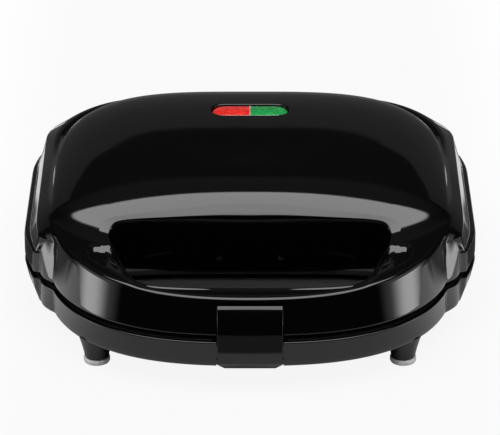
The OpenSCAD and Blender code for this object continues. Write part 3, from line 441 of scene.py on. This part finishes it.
def superShare(x, y, power):
    return (np.abs(x) ** power + np.abs(y) ** power) ** (1 / power)


def topZ(x, y):
    # the height of the lid's top, without its hollows
    c, d = crease, dome
    ahead = superShare(x / c["halfW"], np.minimum(y, 0) / c["front"], c["power"])
    behind = superShare(x / c["halfW"], np.maximum(y, 0) / c["rear"], d["rearPower"])
    share = np.minimum(1, np.where(y < 0, ahead, behind))
    back = smooth((y + d["backStart"]) / d["backRun"])
    side = np.minimum(1, np.abs(x / c["halfW"])) ** d["sidePower"]
    rise = np.clip((y + d["start"] - d["sideStart"] * side) / (d["run"] - d["sideRun"] * side), 0, 1)
    height = mix(d["height"], d["rearHeight"], back) * smooth(rise ** d["bend"])
    fall = 1 - share ** mix(d["frontPower"], d["rearPower"], back)
    return creaseZ(y) + height * np.maximum(0, fall) ** d["roll"]


def dishDepth(x, y):
    d = dish
    ys, xs = np.array(d["side"])[::-1].T
    deep = np.interp(y, (d["frontY"], d["rearY"] - d["ramp"]), (d["frontDepth"], d["depth"]))
    within = np.interp(y, ys, xs) - np.abs(x)
    return deep * smooth((d["rearY"] - y) / d["ramp"]) * smooth(within / d["sideRamp"])


def openingEdge():
    edge = np.array(opening["edge"], float)
    for step in range(opening["roundings"]):
        # corner cutting rounds the outline without moving its two ends
        low, high = mix(edge[:-1], edge[1:], 0.25), mix(edge[:-1], edge[1:], 0.75)
        edge = np.vstack([edge[:1], np.column_stack([low, high]).reshape(-1, 2)[1:-1], edge[-1:]])
    along = np.append(0, np.cumsum(np.hypot(*np.diff(edge, axis=0).T)))
    even = np.linspace(0, along[-1], opening["samples"])
    edge = np.column_stack([np.interp(even, along, edge[:, 0]), np.interp(even, along, edge[:, 1])])
    around = np.arctan2(edge[:, 1] - opening["centreY"], edge[:, 0])
    reach = np.hypot(edge[:, 1] - opening["centreY"], edge[:, 0])
    return around[::-1], reach[::-1]


def openingLike(widen):
    # each point lies on the line from the middle of the opening to its partner on the crease
    around, reach = openingEdge()
    c = creaseOutline()
    t = np.arctan2(c[:, 1] - opening["centreY"], np.abs(c[:, 0]))
    r = np.interp(t, around, reach)
    xy = np.column_stack([r * np.cos(t) * np.sign(np.where(np.abs(c[:, 0]) < 1e-6, 0, c[:, 0])),
                          opening["centreY"] + r * np.sin(t)])
    if widen == 0:
        return xy
    run = np.roll(xy, -1, axis=0) - np.roll(xy, 1, axis=0)
    out = np.column_stack([run[:, 1], -run[:, 0]]) / np.hypot(*run.T)[:, None]
    return xy + widen * out


# Making, finishing and placing meshes

def withZ(xy, z):
    return np.column_stack([xy, np.broadcast_to(z, len(xy))])


def fillet(a, corner, b, count):
    return [((1 - s) ** 2) * a + 2 * s * (1 - s) * corner + s * s * b for s in np.linspace(0, 1, count)]


def meshObject(name, corners, faces, material=None):
    mesh = bpy.data.meshes.new(name)
    mesh.from_pydata([tuple(float(c) * mm for c in corner) for corner in corners], [], faces)
    mesh.validate()
    thing = bpy.data.objects.new(name, mesh)
    bpy.context.scene.collection.objects.link(thing)
    if material:
        mesh.materials.append(material)
    return thing


def skin(name, rings, material, closed=False):
    # rings of equal count are joined; the ends are closed by fans, or the last ring meets the first
    n, m = len(rings[0]), len(rings)
    corners = np.concatenate(rings)
    last = m if closed else m - 1
    faces = [(k * n + i, k * n + (i + 1) % n, ((k + 1) % m) * n + (i + 1) % n, ((k + 1) % m) * n + i)
             for k in range(last) for i in range(n)]
    if not closed:
        corners = np.concatenate([corners, rings[0].mean(axis=0)[None], rings[-1].mean(axis=0)[None]])
        faces += [(m * n, (i + 1) % n, i) for i in range(n)]
        faces += [(m * n + 1, (m - 1) * n + i, (m - 1) * n + (i + 1) % n) for i in range(n)]
    return meshObject(name, corners, faces, material)


def finishShell(thing, angle=40):
    # doubles merged, faces outwards, and edges sharper than the angle kept sharp
    work = bmesh.new()
    work.from_mesh(thing.data)
    bmesh.ops.remove_doubles(work, verts=work.verts, dist=1e-6)
    bmesh.ops.dissolve_degenerate(work, dist=1e-6, edges=work.edges)
    bmesh.ops.recalc_face_normals(work, faces=work.faces)
    work.to_mesh(thing.data)
    work.free()
    thing.data.shade_smooth()
    thing.data.set_sharp_from_angle(angle=math.radians(angle))
    return thing


def bake(thing):
    # what the modifiers make becomes a plain mesh
    bpy.context.view_layer.update()
    mesh = bpy.data.meshes.new_from_object(thing.evaluated_get(bpy.context.evaluated_depsgraph_get()))
    thing.modifiers.clear()
    old = thing.data
    thing.data = mesh
    bpy.data.meshes.remove(old)
    mesh.name = thing.name
    return thing


def cut(thing, cutter, operation="DIFFERENCE"):
    step = thing.modifiers.new("cut", "BOOLEAN")
    step.operation, step.object, step.solver = operation, cutter, "EXACT"
    bake(thing)
    bpy.data.objects.remove(cutter)
    return thing


def box(name, low, high):
    corners = [(x, y, z) for x in (low[0], high[0]) for y in (low[1], high[1]) for z in (low[2], high[2])]
    return meshObject(name, corners, [(0, 1, 3, 2), (4, 6, 7, 5), (0, 4, 5, 1), (2, 3, 7, 6), (0, 2, 6, 4),
                                      (1, 5, 7, 3)])


def lathe(name, profile, centre, material, count=64):
    # a profile of radius and height, turned about an upright axis
    t = np.linspace(0, 2 * np.pi, count, endpoint=False)
    rings = [np.column_stack([centre[0] + r * np.cos(t), centre[1] + r * np.sin(t), np.full(count, float(z))])
             for r, z in profile]
    return finishShell(skin(name, rings, material))


def pipe(name, radius, startY, endY, z, count=48):
    t = np.linspace(0, 2 * np.pi, count, endpoint=False)
    return finishShell(skin(name, [np.column_stack([radius * np.cos(t), np.full(count, float(y)),
                                                    z + radius * np.sin(t)]) for y in (startY, endY)], None))


def place(thing, body, slotName, *nodes):
    if nodes:
        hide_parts(*nodes)
    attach(thing, body)
    return thing


# Lid cover

# heights on the side are shares of the way from the rim up to the crease: the cheek ends in a ledge,
# a wall leans in from there to the edge of a band, and the band slopes in to the crease
lid = dict(cheekSteps=(0, 0.36, 0.39, 0.42, 0.44, 0.455, 0.465, 0.475, 0.485, 0.493, 0.503, 0.52, 0.54, 0.78),
           cheekParts=(1, 1, 0.995, 0.985, 0.965, 0.94, 0.89, 0.80, 0.69, 0.61, 0.56, 0.52, 0.49, 0),
           bandEdge=0.78, bandLean=0.01, bandX=75, bandFade=25,
           lipWidth=5.8, lipDrop=0.8, lipRound=1.3, lipFront=84, lipFade=26, barRound=1.0,
           beadIn=0.7, beadW=2.3, rimRound=0.8,
           wellFoot=35.8, wellFrontY=-77, wellLeast=2.5, wellTop=1.2, barGap=0.02,
           # the inside of the shell: how far out it starts, its steps under the top, and its steps
           # down the side, each with its part of the cheek
           insideFrom=0.4, insideTop=(0, 0.15, 0.3, 0.45, 0.6, 0.75, 0.9, 0.97),
           insideSide=((0.9, 0), (0.76, 0), (0.5, 0.5), (0.36, 0.8), (0.05, 1)))


def sideRing(t, inset=0.0, cheekPart=None):
    l = lid
    lag = housing["shoulderLean"][0] * t + housing["shoulderLean"][1] * t * t
    part = np.interp(t, l["cheekSteps"], l["cheekParts"]) if cheekPart is None else cheekPart
    low, high = bodyOutline(inset, part, lag), creaseOutline(inset)
    beside = shoulderAt(low[:, 1], lag) * smooth((np.abs(low[:, 0]) - l["bandX"]) / l["bandFade"])
    lean = np.interp(t, (0, l["bandEdge"], 1), (0, l["bandLean"], 1))
    xy = mix(low, high, mix(t, lean, beside)[:, None])
    return withZ(xy, mix(housing["lidRimZ"], creaseZ(xy[:, 1]), t))


def topRing(u, inset=0.0, drop=0.0):
    # a ring at share u of the way from the opening's edge to the crease
    l = lid
    edge = openingLike(inset)
    xy = mix(edge, creaseOutline(inset), np.broadcast_to(u, len(edge))[:, None])
    away = np.hypot(*(xy - edge).T)
    height = topZ(xy[:, 0], xy[:, 1])
    if drop:
        return withZ(xy, height - drop)
    rear = smooth((edge[:, 1] + l["lipFront"]) / l["lipFade"])     # the lip fades out at the front bar
    lip = l["lipDrop"] * rear * np.clip(1 - away / l["lipWidth"], 0, 1)
    radius = mix(l["barRound"], l["lipRound"], rear)
    s = np.clip(1 - away / radius, 0, 1)
    roll = radius * (1 - np.sqrt(np.maximum(0, 1 - s * s)))
    bead = smooth((away - l["beadIn"]) / l["beadW"])               # the hollow stops short of the opening
    return withZ(xy, height - dishDepth(xy[:, 0], xy[:, 1]) * bead - lip - roll)


def buildLid():
    # one closed skin: up the side, over the crease and the top, down the well and back along the inside
    l, r, wall = lid, crease["round"], housing["wall"]
    # the rings of the side are closest at the cheek's ledge
    wallSteps = np.concatenate([np.linspace(0.05, 0.34, 7), np.linspace(0.36, 0.56, 24),
                                (0.6, 0.65, 0.7, 0.74), np.linspace(0.76, 0.8, 6), (0.82, 0.84)])
    side = [sideRing(t) for t in wallSteps]
    corner = creaseOutline()
    cornerRing = withZ(corner, creaseZ(corner[:, 1]))
    rim = sideRing(0)
    rimInner = sideRing(0, wall)
    below = side[-1] - cornerRing
    below = cornerRing + below / np.linalg.norm(below, axis=1)[:, None] * r
    bend = 1 - r / np.hypot(*(corner - openingLike(0)).T)      # where the rounded crease meets the top
    nearLip = 0.06
    topSteps = np.concatenate([np.linspace(0.98, 0.4, 40), np.linspace(0.4, nearLip, 44)[1:],
                               nearLip * np.cos(np.linspace(0, np.pi / 2, 14))[1:]])
    top = [topRing(u * bend) for u in topSteps]
    lip = top[-1]
    # the well goes down to its foot; along the front bar the skin turns back under the bar instead
    foot = np.where(lip[:, 1] > l["wellFrontY"], l["wellFoot"], lip[:, 2] - wall)
    wellOuter = [withZ(lip[:, :2], mix(lip[:, 2], foot, s)) for s in (0.1, 0.4, 1.0)]
    inner = openingLike(wall)
    innerTop = np.where(foot < lip[:, 2] - l["wellLeast"], lip[:, 2] - l["wellTop"], foot + l["barGap"])
    wellInner = [withZ(inner, foot), withZ(inner, innerTop)]
    span = np.hypot(*(creaseOutline(wall) - inner).T)
    start = np.minimum(l["insideFrom"], (l["lipWidth"] + wall) / span)
    inside = [topRing(mix(start, 1, s), wall, wall) for s in l["insideTop"]]
    inside += [sideRing(t, wall, cheekPart) for t, cheekPart in l["insideSide"]]
    share = l["rimRound"] / wall
    outerRim = fillet(mix(rim, rimInner, share), rim, side[0], 5)
    innerRim = fillet(inside[-1], rimInner, mix(rimInner, rim, share), 4)
    rings = side + fillet(below, cornerRing, topRing(bend), 10) + top + wellOuter + wellInner + inside \
        + innerRim + outerRim[:-1]
    return finishShell(skin("lidCover", rings, glossBlack, closed=True))


# both lenses lie in one capsule-shaped recess near the top of the dome; a box keeps each one's half
lamps = dict(width=41, depth=14, y=58, gap=0.3, fit=0.5, edgeRound=0.9, clear=0.02, recessZ=(60.0, 95.0),
             recess=0.05, top=84.33, height=6, edgeIn=4.4, edgeDrop=2.1, crown=0.45,
             crownAt=(4.9, 5.5, 6.1, 6.6), crownRun=5.4, boxX=60, boxY=(30, 90), boxZ=(50, 100))


def capsule(widen, count=40):
    # the outline of the two lenses together
    l = lamps
    half = (l["width"] - l["depth"]) / 2
    r = l["depth"] / 2 + widen
    t = np.linspace(-np.pi / 2, np.pi / 2, count)
    right = np.column_stack([half + r * np.cos(t), l["y"] + r * np.sin(t)])
    t = t + np.pi
    return np.concatenate([right, np.column_stack([-half + r * np.cos(t), l["y"] + r * np.sin(t)])])


def lensRecess():
    # a cutter that flares out at the skin, so the opening gets a rounded edge
    l = lamps
    r, (low, high) = l["edgeRound"], l["recessZ"]
    rings = [withZ(capsule(l["fit"]), low)]
    for s in np.linspace(0, 1, 7):
        xy = capsule(l["fit"] + r * (1 - math.cos(s * math.pi / 2)))
        clear = l["clear"] if s == 1 else 0
        rings.append(withZ(xy, topZ(xy[:, 0], xy[:, 1]) - r * (1 - math.sin(s * math.pi / 2)) + clear))
    rings.append(withZ(capsule(l["fit"] + r), high))
    return finishShell(skin("lensCutter", rings, None))


# slots for the latch and the hinges, and how far past the object their cutters reach
latchSlot = dict(half=17, backY=-94.5, top=48.5, baseY=-106.3, lipY=-103.1, lipZ=19.6)
hingeSlots = dict(x=50, half=12.5, baseHalf=7.2, startY=91.5, top=39.5, baseLow=20.6)
past = dict(front=-150, rear=120, lidLow=20, baseLow=-1, baseTop=60)

lidCover = buildLid()
cut(lidCover, lensRecess())
cut(lidCover, box("slot", (-latchSlot["half"], past["front"], past["lidLow"]),
                  (latchSlot["half"], latchSlot["backY"], latchSlot["top"])))
for side in (-1, 1):
    middle = side * hingeSlots["x"]
    cut(lidCover, box("slot", (middle - hingeSlots["half"], hingeSlots["startY"], past["lidLow"]),
                      (middle + hingeSlots["half"], past["rear"], hingeSlots["top"])))
place(finishShell(lidCover), "lid", "gloss_black", "lid_cover")
print("stage: lid cover", len(lidCover.data.polygons))


# Signal lamps

def buildLens(name, side, material):
    # the edge falls away in a quarter of an ellipse, and the middle is a little crowned
    l = lamps
    e = l["edgeIn"]
    rings = [withZ(capsule(0), l["top"] - l["height"])]
    edge = [(e * (1 - math.cos(s * math.pi / 2)), -l["edgeDrop"] * (1 - math.sin(s * math.pi / 2)))
            for s in np.linspace(0, 1, 14)]
    middle = [(inset, l["crown"] * (inset - e) / l["crownRun"]) for inset in l["crownAt"]]
    for inset, lift in edge + middle:
        xy = capsule(-inset)
        rings.append(withZ(xy, topZ(xy[:, 0], xy[:, 1]) - l["recess"] + lift))
    whole = finishShell(skin(name, rings, material))
    low, high = (l["gap"], l["boxX"]) if side > 0 else (-l["boxX"], -l["gap"])
    (frontY, rearY), (lowZ, highZ) = l["boxY"], l["boxZ"]
    cut(whole, box("half", (low, frontY, lowZ), (high, rearY, highZ)), "INTERSECT")
    return finishShell(whole)


place(buildLens("redLens", -1, redLens), "lid", "red_lens", "red_lens")
place(buildLens("greenLens", 1, greenLens), "lid", "green_lens", "green_lens")
print("stage: lenses")


# Base shell with its feet and their pads

base = dict(rimRound=0.7, rimShare=0.35, flareRun=60,
            # the belly as shares of the body's outline, and its steps from the middle to the wall's foot
            bellyX=0.88, bellyY=0.92, bellyFront=-36, bellyIn=4,
            bellySteps=(1.0, 0.97, 0.9, 0.7, 0.45, 0.2, 0.0),
            # rings at the foot of the wall: height over the start, inset, flare and part of the cheek
            outside=((-0.6, 2.6, 0, 0.12), (0, 1, 0, 0.15), (0.5, 0.45, 0, 0.2), (1.2, 0.15, 0, 0.25),
                     (3, 0, 0.2, 0.35)),
            inside=((8, 0, 0.6, 0.8), (3, 0, 0, 0.35), (2, 1, 0, 0.05), (1, 4, 0, 0)),
            cheekSteps=(0, 0.45, 1), cheekParts=(0.35, 0.8, 1),
            footX=79, frontFootY=-73, rearFootY=72, footTopR=9.4, footBend=1.3, padR=6.8, padH=3,
            # profiles as steps from the pad's radius, and heights from the pad's top or the floor
            footEdge=((-1.6, 0), (-0.7, 0), (-0.5, 0.3)),
            padFoot=((-3.2, 0.5), (-2.8, 0.0), (-0.9, 0.0), (-0.3, 0.25), (0, 0.9)),
            padTop=((0, -0.6), (-0.25, -0.15), (-0.8, 0)),
            cordR=5.05, cordStartY=89.5, cordZ=21)


def baseRing(z, inset, flare=0.0, cheekPart=1.0):
    xy = bodyOutline(inset, cheekPart)
    xy[:, 1] -= np.where(xy[:, 1] < 0, flare * smooth(-xy[:, 1] / base["flareRun"]), 0)
    return withZ(xy, z)


def bellyRing(z, inset=0.0, share=1.0):
    # the bottom runs from the foot of the wall in to a flat belly
    b = base
    low = bodyOutline(inset, 0)
    lowY = np.where(low[:, 1] < b["bellyFront"], b["bellyFront"] + inset, low[:, 1] * b["bellyY"])
    low = np.column_stack([low[:, 0] * b["bellyX"], lowY])
    return withZ(mix(bodyOutline(b["bellyIn"], 0), low, share), mix(housing["baseZ"] - 1, z, share))


def buildBase():
    # from the belly up the outside, over the rim, down the inside and along the floor
    h, b = housing, base
    low, rim, wall, flare = h["baseZ"], h["baseRimZ"], h["wall"], h["baseFlare"]
    outer = [bellyRing(h["bellyZ"], 0, s) for s in b["bellySteps"]]
    outer += [baseRing(low + up, inset, ringFlare, cheek) for up, inset, ringFlare, cheek in b["outside"]]
    footUp, footInset, footFlare, footCheek = b["outside"][-1]
    for s in np.linspace(0, 1, 9)[1:]:
        cheek = float(np.interp(s, b["cheekSteps"], b["cheekParts"]))
        outer.append(baseRing(mix(low + footUp, rim - b["rimRound"], s), 0, mix(footFlare, flare, s), cheek))
    edge = [baseRing(rim, 0, flare), baseRing(rim, wall, flare)]
    turn = fillet(outer[-1], edge[0], mix(edge[0], edge[1], b["rimShare"]), 5)[1:]
    turn += fillet(mix(edge[1], edge[0], b["rimShare"]), edge[1], edge[1] - (0, 0, b["rimRound"]), 4)
    inner = [baseRing(low + up, inset + wall, ringFlare, cheek)
             for up, inset, ringFlare, cheek in b["inside"]]
    floor = bellyRing(h["bellyZ"] + wall, wall)
    return finishShell(skin("baseShell", outer + turn + inner + [floor], glossBlack))


def buildFoot(x, y, topLevel):
    # a post that widens upwards from its pad
    b = base
    profile = [(b["padR"] + r, b["padH"] + up) for r, up in b["footEdge"]]
    startR, startZ = profile[-1]
    profile += [(mix(startR, b["footTopR"], s ** b["footBend"]), mix(startZ, topLevel, s))
                for s in np.linspace(0, 1, 12)[1:]]
    return lathe("foot", profile, (x, y), None)


baseShell = buildBase()
for side in (-1, 1):
    cut(baseShell, buildFoot(side * base["footX"], base["frontFootY"], housing["baseZ"] + 1), "UNION")
    cut(baseShell, buildFoot(side * base["footX"], base["rearFootY"], housing["bellyZ"] + 1), "UNION")
for backY, top in ((latchSlot["baseY"], past["baseTop"]), (latchSlot["lipY"], latchSlot["lipZ"])):
    cut(baseShell, box("slot", (-latchSlot["half"], past["front"], past["baseLow"]),
                       (latchSlot["half"], backY, top)))
for side in (-1, 1):
    middle = side * hingeSlots["x"]
    cut(baseShell, box("slot", (middle - hingeSlots["baseHalf"], hingeSlots["startY"], hingeSlots["baseLow"]),
                       (middle + hingeSlots["baseHalf"], past["rear"], past["baseTop"])))
cut(baseShell, pipe("cordHole", base["cordR"], base["cordStartY"], past["rear"], base["cordZ"]))
place(finishShell(baseShell), "base", "gloss_black", "base_shell")
print("stage: base shell", len(baseShell.data.polygons))

padProfile = [(base["padR"] + r, z) for r, z in base["padFoot"]]
padProfile += [(base["padR"] + r, base["padH"] + down) for r, down in base["padTop"]]
for name, x, y in (("front_left", -1, "frontFootY"), ("front_right", 1, "frontFootY"),
                   ("rear_left", -1, "rearFootY"), ("rear_right", 1, "rearFootY")):
    pad = lathe(name + "FootPad", padProfile, (x * base["footX"], base[y]), rubber)
    place(pad, "base", "pad_rubber", name + "_foot_pad")
print("stage: foot pads")


# What repeats, made by Geometry Nodes: screws on points, and a row of ribs

def startTree(name, inputs):
    tree = bpy.data.node_groups.new(name, "GeometryNodeTree")
    tree.interface.new_socket("Geometry", in_out="INPUT", socket_type="NodeSocketGeometry")
    for label, kind in inputs.items():
        tree.interface.new_socket(label, in_out="INPUT", socket_type="NodeSocket" + kind)
    tree.interface.new_socket("Geometry", in_out="OUTPUT", socket_type="NodeSocketGeometry")
    return tree, addNode(tree, "NodeGroupInput").outputs


def endTree(tree, copies, given):
    real = addNode(tree, "GeometryNodeRealizeInstances", in0=copies)
    done = addNode(tree, "GeometryNodeSetMaterial", Geometry=real.outputs[0], Material=given["Material"])
    addNode(tree, "NodeGroupOutput", in0=done.outputs[0])
    return tree


def scatterTree():
    # one shape on every point of the mesh that carries the modifier
    tree, given = startTree("scatter", dict(Shape="Object", Turn="Vector", Material="Material"))
    shape = addNode(tree, "GeometryNodeObjectInfo", Object=given["Shape"])
    copies = addNode(tree, "GeometryNodeInstanceOnPoints", Points=given["Geometry"],
                     Instance=shape.outputs["Geometry"], Rotation=given["Turn"])
    return endTree(tree, copies.outputs[0], given)


def ribTree():
    # a straight row of round ribs
    tree, given = startTree("ribRow", dict(Count="Int", Start="Vector", Step="Vector", Radius="Float",
                                           Thickness="Float", Turn="Vector", Material="Material"))
    line = addNode(tree, "GeometryNodeMeshLine", Count=given["Count"], Start_Location=given["Start"],
                   Offset=given["Step"])
    rib = addNode(tree, "GeometryNodeMeshCylinder", Vertices=48, Radius=given["Radius"],
                  Depth=given["Thickness"])
    copies = addNode(tree, "GeometryNodeInstanceOnPoints", Points=line.outputs[0], Instance=rib.outputs[0],
                     Rotation=given["Turn"])
    return endTree(tree, copies.outputs[0], given)


def grow(name, corners, tree, **values):
    thing = meshObject(name, corners, [])
    step = thing.modifiers.new("grow", "NODES")
    step.node_group = tree
    for item in tree.interface.items_tree:
        if item.in_out == "INPUT" and item.name in values:
            step[item.identifier] = values[item.name]
    return bake(thing)


# ridge gives the heights at which a turn of the thread reaches its crest, leaves it and ends
screw = dict(headR=2.75, headH=1.7, headDome=0.55, headGap=0.02, middleR=0.3, crossW=0.75, crossL=3.4,
             crossDeep=0.9, neck=0.1, shankR=1.12, threadR=1.46, pitch=0.9, ridge=(0.38, 0.46, 0.84),
             firstTurn=0.9, lastTurn=1.2, pointR=0.01, tipR=0.5, tipL=0.35, headClear=0.4)


def screwShape(length):
    # a pan head with a cross recess on a threaded shank; the head's top is at the origin, looking up
    q = screw
    profile = [(q["pointR"], -length), (q["tipR"], -length + q["tipL"])]
    crest, leave, end = q["ridge"]
    for k in range(int((length - q["headH"] - q["lastTurn"]) / q["pitch"])):
        z = -length + q["firstTurn"] + k * q["pitch"]
        profile += [(q["shankR"], z), (q["threadR"], z + crest), (q["threadR"], z + leave),
                    (q["shankR"], z + end)]
    profile += [(q["threadR"], -q["headH"] - q["neck"]), (q["threadR"], -q["headH"]),
                (q["headR"], -q["headH"])]
    profile += [(q["headR"] * math.cos(t), -q["headH"] * q["headDome"] * (1 - math.sin(t)) - q["headGap"])
                for t in np.linspace(0.1, 1.2, 7)]
    shape = lathe("screwShape", profile + [(q["middleR"], -q["headGap"])], (0, 0), None, 40)
    for w, l in ((q["crossW"], q["crossL"]), (q["crossL"], q["crossW"])):
        cut(shape, box("cross", (-w / 2, -l / 2, -q["crossDeep"]), (w / 2, l / 2, 1)))
    return finishShell(shape, 35)


def screwPlaces(node):
    # where each screw of a node stands, its lowest and highest level, and whether its head is on top
    work = bmesh.new()
    work.from_mesh(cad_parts[node].data)
    bmesh.ops.remove_doubles(work, verts=work.verts, dist=2e-6)
    left, places = set(work.verts), []
    for first in work.verts:        # in the mesh's own order, so that every run finds the same one first
        if first not in left:
            continue
        left.discard(first)
        group, edge = [], [first]
        while edge:
            vertex = edge.pop()
            group.append(vertex)
            for link in vertex.link_edges:
                other = link.other_vert(vertex)
                if other in left:
                    left.discard(other)
                    edge.append(other)
        corners = np.array([tuple(v.co) for v in group]) / mm
        low, high = corners.min(axis=0), corners.max(axis=0)
        x, y = (low[:2] + high[:2]) / 2
        # only the head's corners lie well outside the thread
        wide = corners[np.hypot(corners[:, 0] - x, corners[:, 1] - y) > screw["threadR"] + screw["headClear"]]
        places.append((x, y, low[2], high[2], wide[:, 2].mean() > (low[2] + high[2]) / 2))
    work.free()
    return places


def buildScrews(node, name, body):
    places = screwPlaces(node)
    up = places[0][4]
    shape = screwShape(places[0][3] - places[0][2])
    heads = [(x, y, high if up else low) for x, y, low, high, head in places]
    turn = (0, 0, 0) if up else (math.pi, 0, 0)
    screws = grow(name, heads, scatter, Shape=shape, Turn=turn, Material=screwSteel)
    bpy.data.objects.remove(shape)
    place(finishShell(screws, 35), body, "bright_steel", node)


scatter = scatterTree()
for node, name, body in (("upper_plate_screws", "upperPlateScrews", "lid"),
                         ("lid_screws", "lidScrews", "lid"),
                         ("lower_plate_screws", "lowerPlateScrews", "base"),
                         ("base_screws", "baseScrews", "base")):
    buildScrews(node, name, body)
print("stage: screws")


# Softened copies of the plain moulded and turned nodes

softAngle = 30                  # degrees; sharper edges are bevelled, and stay sharp in the shading
cornerReach = 0.25              # a move takes the corners that lie this near to its start


def softened(node, name, material, width, moves=(), extra=None, segments=2):
    # moves carry corners of the profile from one y and z to another, and extra is joined on
    thing = bpy.data.objects.new(name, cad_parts[node].data.copy())
    bpy.context.scene.collection.objects.link(thing)
    work = bmesh.new()
    work.from_mesh(thing.data)
    bmesh.ops.remove_doubles(work, verts=work.verts, dist=2e-6)
    bmesh.ops.dissolve_limit(work, angle_limit=math.radians(1.0), verts=work.verts, edges=work.edges)
    for vertex in work.verts:
        for (y, z), (newY, newZ) in moves:
            if math.hypot(vertex.co.y / mm - y, vertex.co.z / mm - z) < cornerReach:
                vertex.co.y, vertex.co.z = newY * mm, newZ * mm
                break
    work.to_mesh(thing.data)
    work.free()
    if extra:
        cut(thing, extra, "UNION")
    thing.data.materials.clear()
    thing.data.materials.append(material)
    for face in thing.data.polygons:
        face.material_index = 0
    if width:
        step = thing.modifiers.new("edges", "BEVEL")
        step.width, step.segments, step.limit_method = width * mm, segments, "ANGLE"
        step.angle_limit = math.radians(softAngle)
        step.use_clamp_overlap = True
        bake(thing)
    thing.data.shade_smooth()
    thing.data.set_sharp_from_angle(angle=math.radians(softAngle))
    return thing


softNodes = [("handle_grip", "handleGrip", satinBlack, 0.4, "lid", "satin_black"),
             ("upper_plate", "upperPlate", nonstick, 0.6, "lid", "nonstick_plate"),
             ("lower_plate", "lowerPlate", nonstick, 0.6, "base", "nonstick_plate"),
             ("lid_inner_frame", "lidInnerFrame", satinBlack, 0.3, "lid", "satin_black"),
             ("base_inner_frame", "baseInnerFrame", satinBlack, 0.3, "base", "satin_black"),
             ("left_lid_hinge", "leftLidHinge", satinBlack, 0.3, "lid", "satin_black"),
             ("right_lid_hinge", "rightLidHinge", satinBlack, 0.3, "lid", "satin_black"),
             ("left_base_hinge", "leftBaseHinge", satinBlack, 0.3, "base", "satin_black"),
             ("right_base_hinge", "rightBaseHinge", satinBlack, 0.3, "base", "satin_black")]
for node, name, material, width, body, slotName in softNodes:
    place(softened(node, name, material, width), body, slotName, node)

# the clip's front stands steeper than the node's, its lip is set back, and its top slopes to the rear
clip = dict(edge=0.45, moves=(((-109.4, 35.8), (-110.55, 34.6)), ((-110.05, 23), (-110.75, 23)),
                              ((-111.74, 19.2), (-111.1, 19.2)), ((-112, 18.3), (-110.9, 18.3)),
                              ((-111.12, 17.1), (-110.3, 17.6)), ((-108.5, 13.5), (-106.4, 13.5)),
                              ((-104.3, 46.9), (-104.25, 47.5)), ((-103.4, 47.8), (-103.9, 47.8)),
                              ((-101.7, 47.8), (-101.7, 47.0))))
place(softened("latch_clip", "latchClip", glossBlack, clip["edge"], clip["moves"], segments=3), "latch",
      "gloss_black", "latch_clip")

fin = dict(halfT=0.2, halfD=6.2, low=76, top=82.95)     # the pale wall between the two lenses
finBox = box("fin", (-fin["halfT"], lamps["y"] - fin["halfD"], fin["low"]),
             (fin["halfT"], lamps["y"] + fin["halfD"], fin["top"]))
place(softened("lamp_holder", "lampHolder", pale, 0, extra=finBox), "lid", "pale_plastic", "lamp_holder")

# ribs round the tail of the cord's bend relief
relief = dict(count=4, startY=103.2, pitch=2.2, ribR=5.4, ribT=1.1, bore=3.2, boreY=(80, 130), edge=0.2)
ribs = grow("ribs", [], ribTree(), Count=relief["count"],
            Start=(0, relief["startY"] * mm, base["cordZ"] * mm), Step=(0, relief["pitch"] * mm, 0),
            Radius=relief["ribR"] * mm, Thickness=relief["ribT"] * mm, Turn=(math.pi / 2, 0, 0),
            Material=satinBlack)
gland = cut(softened("cord_gland", "cordGland", satinBlack, relief["edge"]), ribs, "UNION")
cut(gland, pipe("bore", relief["bore"], *relief["boreY"], base["cordZ"]))
place(finishShell(gland, 30), "base", "satin_black", "cord_gland")
print("stage: softened pieces")


# Finishes of the nodes that stay

kept = {steel: ["upper_heating_element", "lower_heating_element", "upper_heat_shield", "lower_heat_shield",
                "left_hinge_pin", "right_hinge_pin", "thermostat"],
        blackSteel: ["latch_pin"],
        pale: ["cord_clamp", "terminal_block", "thermal_fuse", "lid_wires", "base_wires"],
        glass: ["indicator_lamps"]}
for material, names in kept.items():
    for name in names:
        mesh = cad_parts[name].data
        mesh.materials.clear()
        mesh.materials.append(material)
print("stage: finishes of the nodes that stay")
